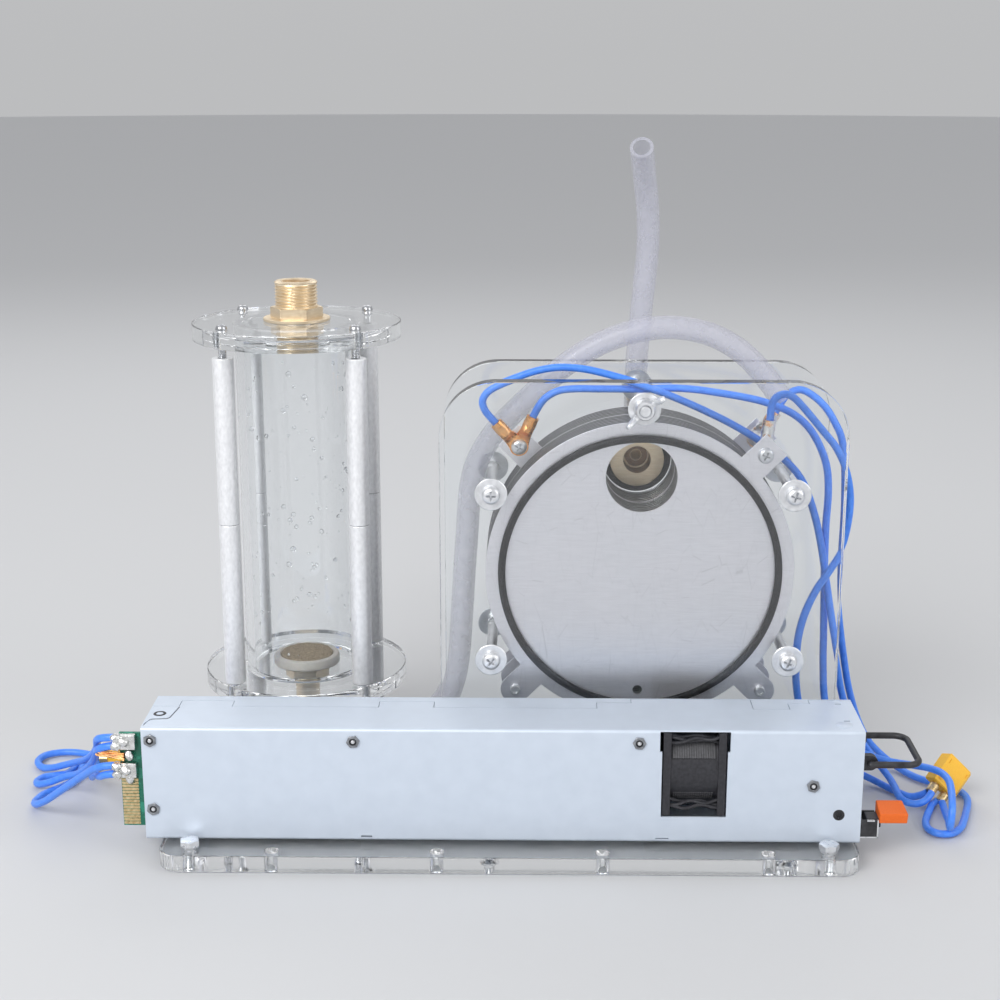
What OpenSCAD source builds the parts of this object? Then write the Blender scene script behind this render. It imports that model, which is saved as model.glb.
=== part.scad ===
// Bench hydrogen electrolyser: clear base, power supply, bubbler column and dry cell.
// Millimetres, +Z up. The origin is the centre of the base plate's underside, and -Y is the front.

/* [Base plate] */
// Width of the clear base plate
base_w = 314; // [304:1:360]
// Depth of the clear base plate
base_d = 180; // [176:1:230]
// Thickness of the base plate
base_t = 8; // [6:0.5:12]
// Corner radius of the base plate
base_r = 10; // [4:1:20]
// Distance of the corner bolts from the left and right edges
bolt_inset_x = 14; // [10:1:20]
// Distance of the corner bolts from the front and rear edges
bolt_inset_y = 8; // [6:0.5:9]
// Shank diameter of the corner bolts
corner_bolt_d = 5; // [4:0.5:6]
// Width across flats of the corner bolts
corner_hex = 8; // [7:0.5:10]
// Head height of the corner bolts
corner_head_h = 3; // [2:0.5:5]
// Width across flats of the thin corner nuts
corner_nut_hex = 7; // [7:0.5:10]
// Height of the thin corner nuts
corner_nut_h = 1.5; // [1:0.5:4]
// Diameter of the bench holes along the front edge
bench_hole_d = 6; // [4:0.5:8]
// Number of bench holes
bench_hole_n = 4; // [2:1:4]
// Distance between neighbouring bench holes
bench_pitch = 74; // [60:1:80]
// Middle of the row of bench holes, right of the base's middle
bench_x = 5; // [-6:0.5:6]
// Distance of the bench holes from the front edge
bench_inset = 6; // [5:0.5:10]
// Diameter of the screws that come up through the base
base_screw_d = 4; // [3:0.5:5]
// Head diameter of the screws that come up through the base
base_screw_head_d = 8; // [6:0.5:10]
// Countersink depth of the screws that come up through the base
base_screw_head_h = 2.2; // [1.5:0.1:3]
// Reach of those screws into the piece that they hold
base_screw_reach = 14; // [8:1:18]

/* [Power supply] */
// Length of the supply's case
supply_l = 321.5; // [300:0.5:340]
// Depth of the supply's case
supply_d = 40; // [36:0.5:46]
// Height of the supply's case, lying on its side
supply_h = 54; // [52:0.5:62]
// Middle of the supply, right of the base's middle
supply_x = -3; // [-10:0.5:10]
// Distance of the supply's front face from the base's front edge
supply_inset = 14; // [13:0.5:18]
// Sheet thickness of the case
supply_wall = 1; // [0.8:0.1:1.5]
// Outer bend radius of the case's long edges
supply_bend_r = 1.6; // [1.5:0.1:3]
// Thickness of the mounting tape
tape_t = 1.2; // [0.8:0.1:3]
// Length of each strip of mounting tape
tape_l = 70; // [40:1:100]
// Width of each strip of mounting tape
tape_w = 24; // [12:1:34]
// Distance of the tape strips' middles from the supply's middle
tape_offset = 100; // [60:1:110]
// Distance of the seam between cover and tray from the front face
seam_depth = 26; // [22:0.5:30]
// Reach of the cover's tabs past the seam
seam_tab = 7; // [3:0.5:8]
// Reach of the cover's two long tabs past the seam
seam_long_tab = 11.5; // [9:0.5:12]
// Start of the cover's left tab, from the left end
seam_tab_l_x = 12.5; // [11:0.5:20]
// Length of the cover's left tab
seam_tab_l_l = 24; // [15:1:30]
// Start of the first cover tab, from the left end
seam_tab_a_x = 104; // [80:1:110]
// Length of the first cover tab
seam_tab_a_l = 25; // [20:1:40]
// Start of the second cover tab, from the left end
seam_tab_b_x = 204; // [160:1:210]
// Length of the second cover tab
seam_tab_b_l = 16; // [8:1:16]
// Start of the first long tab, from the left end
seam_long_a_x = 220; // [220:1:230]
// Length of the first long tab
seam_long_a_l = 55; // [40:1:60]
// Start of the cover's right tab, from the left end
seam_tab_r_x = 292; // [291:1:296]
// Start of the second long tab, which runs to the right end
seam_long_b_x = 302; // [300:1:306]
// Width of the case's screw heads across flats
case_screw_hex = 6; // [5:0.5:7]
// Height of the case's screw heads
case_screw_head_h = 1.2; // [0.8:0.1:2]
// Shank diameter of the case's screws
case_screw_d = 3; // [2.5:0.1:3.5]
// Collar diameter of the case's screws, which spaces the circuit board off the cover
case_collar_d = 5; // [4.5:0.1:6]
// Distance of the left case screws from the left end
case_screw_left = 4; // [4:0.5:8]
// Distance of the middle case screw from the left end
case_screw_mid = 94.5; // [60:0.5:150]
// Distance of the right board screw from the fan
case_screw_fan = 10.8; // [10:0.1:14]
// Height of the upper case screws above the case's bottom
case_screw_high = 48; // [46:0.5:48]
// Height of the lower case screw above the case's bottom
case_screw_low = 15; // [12:0.5:20]
// Distance of the end case screw from the right end
case_screw_end = 22; // [20:0.5:26]
// Height of the end case screw above the case's bottom
case_screw_end_z = 28; // [24:0.5:32]
// Diameter of the plain hole low on the cover
cover_hole_d = 3; // [2:0.5:4]
// Distance of the plain hole from the right end
cover_hole_end = 10; // [8:0.5:14]
// Height of the plain hole above the case's bottom
cover_hole_z = 14; // [10:0.5:20]

// Distance of the left end wall behind the circuit board
end_wall_gap = 8; // [6:0.5:12]

/* [Circuit board] */
// Thickness of the circuit board
board_t = 1.6; // [1:0.1:2.4]
// Height of the circuit board inside the case
board_h = 50; // [49:0.5:50]
// Gap between the cover's inner face and the circuit board
board_gap = 4; // [3:0.5:6]
// Reach of the board's tongue out of the left end
tongue_out = 11; // [8:0.5:20]
// Height of the board's tongue
tongue_h = 45; // [40:0.5:46]
// Length of the tongue's root inside the case
tongue_root = 10; // [6:0.5:14]
// Distance between the board's right edge and the fan
board_fan_gap = 4; // [3:0.5:6]
// Length of each output tab
output_tab_l = 9; // [7:0.5:10]
// Height of each output tab
output_tab_h = 7; // [5:0.5:9]
// Thickness of each output tab
output_tab_t = 3; // [2:0.5:3]
// Height of the upper output tab's middle above the case's bottom
output_tab_high = 45.8; // [42:0.1:45.8]
// Height of the lower output tab's middle above the case's bottom
output_tab_low = 32.3; // [28:0.1:34]

/* [Supply internals] */
// Length of the transformer
transformer_l = 42; // [30:1:60]
// Height of the transformer
transformer_h = 36; // [24:1:44]
// Thickness of the transformer
transformer_t = 26; // [18:1:28]
// Distance of the transformer's middle from the left end
transformer_x = 130; // [120:1:140]
// Diameter of the capacitors
capacitor_d = 22; // [16:0.5:24]
// Length of the capacitors
capacitor_l = 27; // [20:0.5:28]
// Distance of the capacitors' middle from the left end
capacitor_x = 185; // [180:1:190]
// Length of the heat sink
sink_l = 60; // [40:1:80]
// Height of the heat sink
sink_h = 40; // [24:1:46]
// Thickness of the heat sink's foot
sink_foot = 4; // [2:0.5:6]
// Number of fins on the heat sink
sink_fin_n = 8; // [4:1:10]
// Thickness of each fin
sink_fin_t = 1.5; // [1:0.1:2.5]
// Height of each fin
sink_fin_h = 20; // [10:0.5:22]
// Distance of the heat sink's middle from the left end
sink_x = 52; // [48:1:60]

/* [Fan] */
// Width of the square fan frame
fan_s = 39.6; // [34:0.1:39.6]
// Length of the fan along its axis
fan_l = 28; // [20:0.5:32]
// Distance of the fan's middle from the right end of the case
fan_end = 75; // [70:0.5:90]
// Bore of the fan frame
fan_bore = 37; // [30:0.5:37]
// Thickness of the fan frame's square flanges
fan_flange = 3.5; // [2:0.5:5]
// Diameter of the rotor's hub and of the motor plate
fan_hub_d = 20; // [14:0.5:22]
// Thickness of the motor plate
fan_plate_t = 3; // [2:0.5:4]
// Diameter of the fan's shaft
fan_shaft_d = 3; // [2:0.1:4]
// Number of fan blades
fan_blade_n = 7; // [5:1:9]
// Thickness of the fan blades
fan_blade_t = 1.2; // [0.8:0.1:2]
// Gap between the blade tips and the bore
fan_tip_gap = 0.6; // [0.4:0.1:1.5]
// Gap between the fan and the windows in the case
window_gap = 0.6; // [0.4:0.1:1.5]
// Extra width of the front window's upper part, on each side
window_step = 1; // [0.5:0.1:2]
// Height of the front window's wider upper part
window_step_h = 9.5; // [5:0.5:15]

/* [Handle, latch and inlet] */
// Wire diameter of the pull handle
handle_d = 3; // [2.5:0.1:3.5]
// Distance between the handle's two arms, middle to middle
handle_span = 34; // [28:0.5:36]
// Reach of the handle's bar from the case, to its middle
handle_reach = 26; // [20:0.5:40]
// Height of the handle's pivot above the case's bottom
handle_z = 37; // [36:0.5:42]
// Distance of the handle's pivot from the case
handle_pivot = 3.8; // [3.5:0.1:5]
// Bend radius of the handle's corners, at the wire's middle
handle_bend_r = 6; // [4:0.5:9]
// Length of the handle's pivot pins
handle_pin_l = 5; // [4:0.5:6]
// Width of each pivot lug
lug_ear_w = 3.4; // [2.5:0.1:4]
// Height of each pivot lug
lug_ear_h = 7; // [6:0.5:9]
// Depth of the latch bracket out of the case
bracket_out = 8; // [7:0.5:12]
// Height of the latch bracket's foot above the case's bottom
bracket_foot = 3; // [1:0.5:4]
// Height of the latch bracket
bracket_h = 8.5; // [8:0.5:10]
// Width of the latch bracket
bracket_w = 11; // [9:0.5:12]
// Sheet thickness of the latch bracket
bracket_t = 1; // [0.8:0.1:1.5]
// Diameter of the latch's pivot pin
latch_pin_d = 2.5; // [2:0.1:3]
// Distance of the latch's pivot from the case
latch_pivot_x = 4.4; // [4:0.1:5]
// Height of the latch's pivot above the bracket's foot
latch_pivot_z = 4.4; // [4.2:0.1:4.8]
// Hub diameter of the latch
latch_hub_d = 6; // [5:0.1:6.4]
// Length of the latch's finger tab past the bracket
latch_tab_l = 13; // [8:0.5:18]
// Height of the finger tab's lower edge above the case's bottom
latch_tab_z = 10; // [9:0.5:12]
// Height of the latch's finger tab at its back
latch_tab_h = 6.5; // [5:0.5:8]
// Fall of the finger tab's top towards the front
latch_tab_slope = 2.1; // [0.5:0.1:3]
// Gap between the latch and the bracket
latch_gap = 0.4; // [0.3:0.05:0.8]
// Height of the inlet socket's face
inlet_h = 30; // [26:0.5:32]
// Width of the inlet socket's face
inlet_w = 20; // [18:0.5:21]
// Depth of the inlet socket inside the case
inlet_depth = 22; // [18:0.5:26]
// Wall thickness round the inlet's cavity
inlet_wall = 2; // [1.5:0.1:2.5]
// Depth of the inlet's cavity
inlet_cavity = 16; // [12:0.5:17]
// Length of the inlet's contact pins
inlet_pin_l = 10; // [6:0.5:11]
// Height of the inlet's middle above the case's bottom
inlet_z = 17.5; // [16.5:0.5:18]
// Distance of the inlet's middle from the case's rear face
inlet_rear = 14; // [12:0.5:16]
// Height of the inlet's rim outside the case
inlet_rim = 0.8; // [0.5:0.1:2]

/* [Bubbler] */
// Middle of the bubbler, right of the base's middle
bubbler_x = -103; // [-110:0.5:-98]
// Middle of the bubbler, behind the base's middle
bubbler_y = 32; // [24:0.5:36]
// Diameter of the bubbler's discs
disc_d = 100; // [98:0.5:106]
// Thickness of the bubbler's discs
disc_t = 8; // [6:0.5:12]
// Outer diameter of the bubbler's tube
tube_d = 60; // [50:0.5:64]
// Wall thickness of the bubbler's tube
tube_wall = 4; // [2:0.5:6]
// Depth of the tube's seat in each disc
tube_seat = 4; // [2:0.5:5]
// Thickness of the seal in each seat
tube_seal_t = 1; // [0.5:0.1:1.5]
// Diameter of the bubbler's rods and legs
rod_d = 10; // [8:0.5:12]
// Length of each half rod
rod_l = 80; // [60:1:120]
// Side of the square on which the rods stand
rod_square = 62; // [59:0.5:62]
// Length of the legs under the bottom disc
leg_l = 40; // [36:1:60]
// Diameter of the rods' studs and screws
rod_stud_d = 4; // [3:0.5:5]
// Length of the studs and screws inside the rods
rod_stud_l = 12; // [8:1:18]
// Gap between the upper rods and the top disc
top_gap = 5; // [2:0.5:8]
// Head diameter of the top disc's screws
disc_screw_head_d = 5.5; // [5:0.5:9]
// Head height of the top disc's screws
disc_screw_head_h = 2.6; // [2:0.1:4]
// Outer diameter of the outlet nipple's thread
nipple_d = 20.6; // [16:0.1:22]
// Bore of the outlet nipple
nipple_bore = 14; // [10:0.5:15]
// Width across flats of the outlet nipple's hexagon
nipple_hex = 22; // [22:0.5:30]
// Height of the outlet nipple's hexagon
nipple_hex_h = 5; // [3:0.5:8]
// Diameter of the outlet nipple's flange
nipple_flange_d = 32; // [31:0.5:36]
// Thickness of the outlet nipple's flange
nipple_flange_t = 1.5; // [1:0.1:3]
// Height of the outlet nipple's thread above its hexagon
nipple_rise = 12; // [8:0.5:16]
// Length of the outlet nipple below the top disc
nipple_drop = 6; // [3:0.5:10]
// Pitch of the outlet nipple's thread
nipple_pitch = 1.5; // [1:0.1:2]
// Depth of the outlet nipple's thread
nipple_thread = 0.8; // [0.5:0.1:0.9]
// Outer diameter of the diffuser's cup
cup_d = 33; // [32:0.5:44]
// Height of the diffuser's cup
cup_h = 5; // [4.5:0.5:12]
// Floor thickness of the diffuser's cup
cup_floor = 1.5; // [1.5:0.1:3]
// Diameter of the diffuser stone
stone_d = 26; // [22:0.5:31]
// Height of the diffuser stone
stone_h = 4; // [3:0.5:10]

/* [Hose fittings] */
// Inner diameter of the hoses
hose_id = 8; // [7:0.5:9]
// Outer diameter of the hoses
hose_od = 11; // [10:0.5:12]
// Diameter of the ridges on the hose tails
tail_ridge_d = 9; // [8.5:0.1:9.5]
// Length of the hose tails
tail_l = 18; // [12:0.5:24]
// Number of ridges on each hose tail
tail_ridge_n = 3; // [2:1:4]
// Bore of the hose tails
tail_bore = 5; // [3:0.5:5.5]
// Thread diameter of the bubbler's inlet
inlet_thread_d = 13; // [10:0.5:16]
// Width across flats of the bubbler inlet's hexagon
inlet_hex = 19; // [17:0.5:24]
// Height of the bubbler inlet's hexagon
inlet_hex_h = 5; // [3:0.5:8]
// Body diameter of the bubbler's inlet elbow
elbow_d = 12; // [11:0.5:14]
// Drop of the inlet elbow's arm below the bottom disc
inlet_drop = 28; // [20:0.5:28]
// Length of the inlet elbow's arm, to the shoulder of its hose tail
inlet_arm = 11; // [9:0.5:14]

/* [Cell] */
// Middle of the cell, right of the base's middle
cell_x = 60.5; // [52:0.5:62]
// Gap between the supply's rear face and the cell's front plate
cell_gap = 10; // [6:0.5:16]
// Height of the cell's middle above the base
cell_rise = 110; // [100:1:112]
// Width of the clear end plates
plate_w = 186; // [180:1:190]
// Height of the clear end plates
plate_h = 202; // [200:1:230]
// Thickness of the clear end plates
plate_t = 8; // [6:0.5:12]
// Radius of the end plates' upper corners
plate_r = 26; // [10:1:40]
// Distance of the plates' base screws from the cell's middle
plate_screw_x = 70; // [50:1:80]
// Diameter of the electrodes, neutral plates and gaskets
electrode_d = 144; // [136:0.5:146]
// Thickness of the electrodes and neutral plates
electrode_t = 1; // [0.8:0.1:1.5]
// Number of neutral plates between two electrodes
neutral_n = 5; // [1:1:6]
// Thickness of the gaskets
gasket_t = 2; // [1.5:0.1:3]
// Inner diameter of the gaskets
gasket_id = 126; // [126:0.5:132]
// Squeezed thickness of the two end seals
seal_t = 3.2; // [3:0.1:3.3]
// Cross-section diameter of the end seals
seal_section = 3.4; // [3.3:0.1:3.8]
// Mean diameter of the end seals
seal_d = 129; // [128.5:0.5:134]
// Diameter of the gas hole through the stack
gas_hole_d = 33; // [30:0.5:33]
// Rise of the gas hole above the cell's middle
gas_hole_rise = 46; // [42:0.5:46]
// Diameter of the levelling hole through the stack
drain_hole_d = 4.5; // [3:0.5:6]
// Drop of the levelling hole below the cell's middle
drain_drop = 58; // [50:0.5:58]
// Width of the electrodes' tabs and ears
tab_w = 14; // [13:0.5:18]
// Reach of the tabs and ears past their holes
tab_end = 7; // [6:0.5:9]
// Distance of the terminal holes from the cell's middle
terminal_r = 80; // [79:0.5:83]
// Distance of the ears' holes from the cell's middle
ear_r = 82; // [80:0.5:84]
// Distance of the tie bolts from the cell's middle
tie_r = 80; // [79:0.5:82]
// Shank diameter of the tie bolts
tie_d = 5; // [4:0.5:6]
// Head diameter of the tie bolts
tie_head_d = 8.5; // [7.5:0.5:11]
// Head height of the tie bolts
tie_head_h = 3.4; // [2:0.1:5]
// Length of the tie bolts past the plates' outer washers
tie_tail = 7; // [6:0.5:9]
// Diameter of the tie bolts' washers
washer_d = 15; // [12:0.5:18]
// Thickness of the tie bolts' washers
washer_t = 1.2; // [0.8:0.1:2]
// Width across flats of the tie nuts
tie_nut_hex = 8; // [7.5:0.5:10]
// Height of the tie nuts
tie_nut_h = 4; // [3:0.5:5]
// Hub diameter of the wing nut
wing_hub_d = 10; // [8.5:0.5:12]
// Hub height of the wing nut
wing_hub_h = 5; // [4:0.5:6]
// Distance between the tips of the wings
wing_span = 22; // [18:0.5:26]
// Thickness of the wings
wing_t = 2; // [1.5:0.1:3]
// Rise of the wings in front of the hub's foot
wing_rise = 10; // [7:0.5:12]
// Angle of the wings from level
wing_angle = 40; // [0:5:180]
// Shank diameter of the terminal screws
terminal_d = 4; // [3:0.5:4]
// Head diameter of the terminal screws
terminal_head_d = 7.5; // [6:0.5:9]
// Head height of the terminal screws
terminal_head_h = 2.4; // [1.8:0.1:2.6]
// Diameter of the plain front ends of the studs in the ears
ear_stud_d = 5; // [4.8:0.1:6]
// Length of these ends
ear_stud_h = 2.6; // [2:0.1:2.6]
// Width across flats of the terminal nuts
terminal_nut_hex = 7; // [6:0.5:8]
// Height of the terminal nuts
terminal_nut_h = 3; // [2:0.1:3.1]
// Thickness of the cable lugs' tongues
cable_lug_t = 0.8; // [0.6:0.1:0.9]
// Diameter of the cable lugs' rings
cable_ring_d = 9; // [8:0.5:10]
// Outer diameter of the cable lugs' barrels
cable_barrel_d = 6; // [5.4:0.1:6.4]
// Bore of the cable lugs' barrels
cable_barrel_bore = 4.4; // [4.2:0.1:4.6]
// Distance of the barrels from their screws
cable_barrel_start = 8; // [7.5:0.5:11]
// Length of the cable lugs' barrels
cable_barrel_l = 8; // [7:0.5:12]

/* [Gas outlet] */
// Stem diameter of the gas outlet
outlet_stem_d = 16; // [14:0.5:20]
// Diameter of the gas outlet's inner flange
outlet_flange_d = 26; // [22:0.5:28]
// Thickness of the gas outlet's inner flange
outlet_flange_t = 4; // [2:0.5:6]
// Mouth diameter of the gas outlet
outlet_mouth_d = 13; // [8:0.5:13]
// Width across flats of the gas outlet's hexagon
outlet_hex = 22; // [20:0.5:26]
// Height of the gas outlet's hexagon
outlet_hex_h = 5; // [3:0.5:6]
// Distance of the outlet's hose tail behind the rear plate
outlet_back = 12.5; // [11.5:0.5:13.5]
// Height of the outlet's shoulder above the gas hole's middle
outlet_rise = 12; // [9:0.5:12]
// Outer diameter of the washer under the gas outlet's flange
outlet_gasket_d = 33; // [24:0.5:33]
// Thickness of the washer under the gas outlet's flange
outlet_gasket_t = 1.2; // [0.8:0.1:2]

/* [Leads] */
// Diameter of the blue leads
lead_d = 3.5; // [3:0.1:4]
// Body width of the two-pin connectors
connector_w = 16; // [14:0.5:18]
// Body thickness of the two-pin connectors
connector_t = 8; // [7:0.5:9]
// Body length of the two-pin connectors
connector_l = 16; // [14:0.5:18]
// Distance between a connector's two contacts
contact_pitch = 7.2; // [6.5:0.1:8]
// Outer diameter of the solder cups
solder_cup_d = 5; // [4.5:0.1:5.5]
// Length of the solder cups
solder_cup_l = 5; // [4:0.5:6]
// Bore of the contacts
contact_bore = 3.5; // [3:0.1:3.8]
// Depth of the connector's contact holes
contact_depth = 10; // [6:0.5:12]

/* [Clearances] */
// Radial clearance of a pivot or shaft in its bore
run_gap = 0.05; // [0.03:0.01:0.08]
// Radial clearance of a fastener in its hole
fit_gap = 0.15; // [0.1:0.05:0.3]
// Gap between two cable lugs on one screw
lug_gap = 0.1; // [0.05:0.05:0.3]
// Gap between neighbouring sheets and between moving faces
face_gap = 0.3; // [0.2:0.05:0.5]

/* [Hidden] */
$fn = 64;
eps = 0.01;

// Supply: left, right, front, rear, bottom and top of the case
sx0 = supply_x - supply_l / 2;
sx1 = supply_x + supply_l / 2;
sy0 = -base_d / 2 + supply_inset;
sy1 = sy0 + supply_d;
sz0 = base_t + tape_t;
sz1 = sz0 + supply_h;
board_y0 = sy0 + supply_wall + board_gap;
board_y1 = board_y0 + board_t;
board_mid_z = sz0 + supply_h / 2;

// Fan: its two faces along X, its axis
fan_x0 = sx1 - fan_end - fan_l / 2;
fan_x1 = fan_x0 + fan_l;
fan_y = (sy0 + sy1) / 2;
fan_z = sz1 - supply_wall - face_gap - fan_s / 2;
board_x1 = fan_x0 - board_fan_gap;
hub_l = fan_l - fan_plate_t - face_gap - 4;
board_screws = [
    [sx0 + case_screw_left, sz0 + case_screw_high],
    [sx0 + case_screw_left, sz0 + case_screw_low],
    [sx0 + case_screw_mid, sz0 + case_screw_high],
    [fan_x0 - case_screw_fan, sz0 + case_screw_high],
];
end_screw = [sx1 - case_screw_end, sz0 + case_screw_end_z];
seam_tabs = [
    [sx0 + seam_tab_l_x, seam_tab_l_l, seam_tab],
    [sx0 + seam_tab_a_x, seam_tab_a_l, seam_tab],
    [sx0 + seam_tab_b_x, seam_tab_b_l, seam_tab],
    [sx0 + seam_long_a_x, seam_long_a_l, seam_long_tab],
    [sx0 + seam_tab_r_x, seam_long_b_x - seam_tab_r_x + 0.5, seam_tab],
    [sx0 + seam_long_b_x, supply_l - seam_long_b_x + 1, seam_long_tab],
];

// Right end: handle pivot, latch bracket and inlet
pivot_x = sx1 + handle_pivot;
pivot_z = sz0 + handle_z;
bracket_y0 = sy0;
latch_px = sx1 + latch_pivot_x;
bracket_z = sz0 + bracket_foot;
latch_pz = bracket_z + latch_pivot_z;
inlet_y = sy1 - inlet_rear;

// Bubbler: heights of the discs and rods
disc_z0 = base_t + leg_l;
rod_z0 = disc_z0 + disc_t;
rod_z1 = rod_z0 + 2 * rod_l;
disc_z1 = rod_z1 + top_gap;
disc_top = disc_z1 + disc_t;
rod_points = [
    for (i = [-1, 1]) for (j = [-1, 1])
        [bubbler_x + i * rod_square / 2, bubbler_y + j * rod_square / 2],
];
seat_id = tube_d - 2 * tube_wall - 2 * fit_gap;
seat_od = tube_d + 2 * fit_gap;

// Cell: planes across the stack, from the front plate's front face backwards
plate_n = 3 + 2 * neutral_n;
plate_step = electrode_t + gasket_t;
stack_t = plate_n * electrode_t + (plate_n - 1) * gasket_t;
cell_z = base_t + cell_rise;
front_y0 = sy1 + cell_gap;
front_y1 = front_y0 + plate_t;
stack_y = front_y1 + seal_t;
rear_y0 = stack_y + stack_t + seal_t;
rear_y1 = rear_y0 + plate_t;
centre_y = stack_y + (neutral_n + 1) * plate_step;
last_y = stack_y + (plate_n - 1) * plate_step;
tie_angles = [for (k = [0:5]) 30 + 60 * k];
plate_screws = [
    for (i = [-1, 1]) for (y = [(front_y0 + front_y1) / 2, (rear_y0 + rear_y1) / 2])
        [cell_x + i * plate_screw_x, y],
];
outlet_z = cell_z + gas_hole_rise;
outlet_y = rear_y1 + outlet_back;
terminal_dx = terminal_r * cos(45);
ear_dx = ear_r * cos(45);

// Each lug: its screw, the plane of its tongue's near face, the side of its barrel, its angle from upright
lug_list = [
    [[cell_x - terminal_dx, cell_z + terminal_dx], centre_y - 2 * cable_lug_t - lug_gap, -1, -42.5],
    [[cell_x - terminal_dx, cell_z + terminal_dx], centre_y - cable_lug_t, -1, 24],
    [[cell_x + terminal_dx, cell_z + terminal_dx], stack_y + electrode_t, 1, 6],
    [[cell_x + terminal_dx, cell_z + terminal_dx], last_y - cable_lug_t, -1, 32.5],
];
// Each terminal screw: its middle, its head's seat, its nut's seat, the thread past the nut, and its head
terminal_list = [
    [[cell_x - terminal_dx, cell_z + terminal_dx],
    centre_y - 2 * cable_lug_t - lug_gap, centre_y + electrode_t, 3, terminal_head_d, terminal_head_h],
    [[cell_x + terminal_dx, cell_z + terminal_dx], stack_y, stack_y + electrode_t + cable_lug_t, 2,
    terminal_head_d, terminal_head_h],
    [[cell_x + terminal_dx, cell_z + terminal_dx], last_y - cable_lug_t, last_y + electrode_t, 0,
    terminal_head_d, terminal_head_h],
    [[cell_x - ear_dx, cell_z - ear_dx], stack_y, stack_y + electrode_t, 3, ear_stud_d, ear_stud_h],
    [[cell_x + ear_dx, cell_z - ear_dx], stack_y, stack_y + electrode_t, 3, ear_stud_d, ear_stud_h],
];

// Connectors: place and turn of each, at the face that the solder cups stand on
connector_a = [[208.8, -12.8, 7.7], [-30, 45, 0]];
connector_b = [[-205, 30, 4], [90, 0, 90]];

// Routes of the hoses and leads, from the fitting or lug to the far end
outlet_route = [
    [60.5, 46, 176.5], [60.5, 46, 190], [61, 46.8, 203], [62, 48, 217], [63.2, 49, 232], [64.6, 49.4, 247],
    [65.6, 48.6, 261], [65.4, 46, 274], [64.2, 41.4, 286], [62.4, 34.6, 297], [60.8, 26, 306], [59.8, 19.5, 311],
];
feed_route = [
    [-91.5, 32, 20], [-80, 32, 20], [-68.5, 31, 20.5], [-58, 28.5, 22.5], [-48, 24, 27], [-39, 19, 34.5],
    [-32, 14.5, 44.5], [-27.5, 12, 56], [-25.2, 11, 69], [-24.2, 11, 82], [-23.3, 11, 96], [-22.3, 11, 112],
    [-21, 11, 130], [-20, 11, 145], [-18.6, 11, 156], [-15.2, 11, 167], [-7.6, 11, 179.3],
    [3.4, 11, 191.2], [15.6, 11, 202.8],
    [28, 11, 213], [42, 11, 221.5], [59, 11, 227.5], [77, 11, 229], [94, 11, 225.5], [108, 11, 217.5],
    [119, 11, 206.5], [127, 11, 195.5],
];
lead_1_route = [
    [-3.2, -0.6, 182.3], [-8.5, -0.6, 188], [-12, -0.8, 192.5], [-13, -1, 197], [-10.5, -1.3, 201.2],
    [-5, -1.6, 204.5],
    [3, -2, 207.8], [12, -2, 210.8], [22, -2.5, 212.5], [33, -3, 212], [43, -3.5, 210], [54, -4, 207],
    [63, -4, 204],
    [74, -4, 200], [89, -4, 193.5], [104, -4, 186], [117, -4, 178], [127.5, -4, 170], [136, -4, 160],
    [142, -4, 145],
    [146, -4, 129], [149, -4, 112], [153, -3, 90], [158, 0, 66], [162, 4, 50], [167, 8, 36],
    [172.5, 11, 25],
    [179, 11.5, 16], [183.6, 6.4, 10.8],
    [186.4, -2, 8.4], [187.6, -9.5, 6.8], [188, -16, 5.6], [190.1, -20.9, 4.8], [195, -23, 4.5],
    [199.9, -20.9, 5.4], [203.6, -17.2, 7.8],
];
lead_2_route = [
    [8.2, 0.2, 184.2], [11.3, 0.2, 191], [15.5, 0.1, 197.5], [22, 0, 201.5], [30, 0, 202.5],
    [40, 0, 202.5], [50, 0, 202.5],
    [62, 0, 202.5], [73, 0, 203], [84, 0, 202.5], [95, 0, 201], [107, 0, 199], [116, 0, 197], [125, 0, 194],
    [132.5, 0, 190], [139, 0, 184], [144.5, 0, 175], [148, 0, 165], [149, 0, 153], [148.5, 0, 138],
    [148.5, 0, 122],
    [149, 0.5, 104], [149.5, 1, 86], [150, 2, 68], [151.5, 3, 50], [155.5, 4, 36], [163, 3.5, 26],
    [173, 1, 20.5],
    [184, -4, 18.5], [194, -10, 19], [201, -17, 20.5], [205.5, -24, 21.2], [207.3, -32, 20.8],
    [206.5, -41, 19.8],
    [204.8, -50, 18.8], [203.8, -55, 16.9], [203.2, -57, 12.3], [203.5, -55, 7.7], [204.5, -50, 5.8],
    [206, -42, 5], [207.3, -33.5, 3], [208.3, -25, 2.1], [208.9, -17.5, 2.6],
];
lead_3_route = [
    [118.2, -10.8, 185], [118.9, -11, 191], [119.3, -11, 196.5], [121.1, -11, 200.7], [125.3, -11, 202.5],
    [129.5, -11, 200.7], [134, -11, 196.2], [139, -11, 190.5], [144.5, -11, 184], [149.5, -11, 178],
    [153.5, -11, 170.5], [156.5, -11, 162], [158, -11, 152],
    [157.5, -11, 141], [155, -11, 129], [149, -11, 118], [143.5, -11, 109], [139, -11, 98],
    [136.5, -10.5, 86],
    [136, -10, 74], [136.5, -9.5, 62], [138.5, -9, 50], [142, -7, 38], [147.5, -3, 27], [155, 2.5, 18],
    [164, 7.5, 11],
    [173, 10, 6], [180.5, 8, 3], [186, 2, 2], [190.5, -4.5, 2], [195.2, -9.2, 2], [199.2, -11.8, 3.8],
    [202.4, -13.8, 6.4],
];
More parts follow.
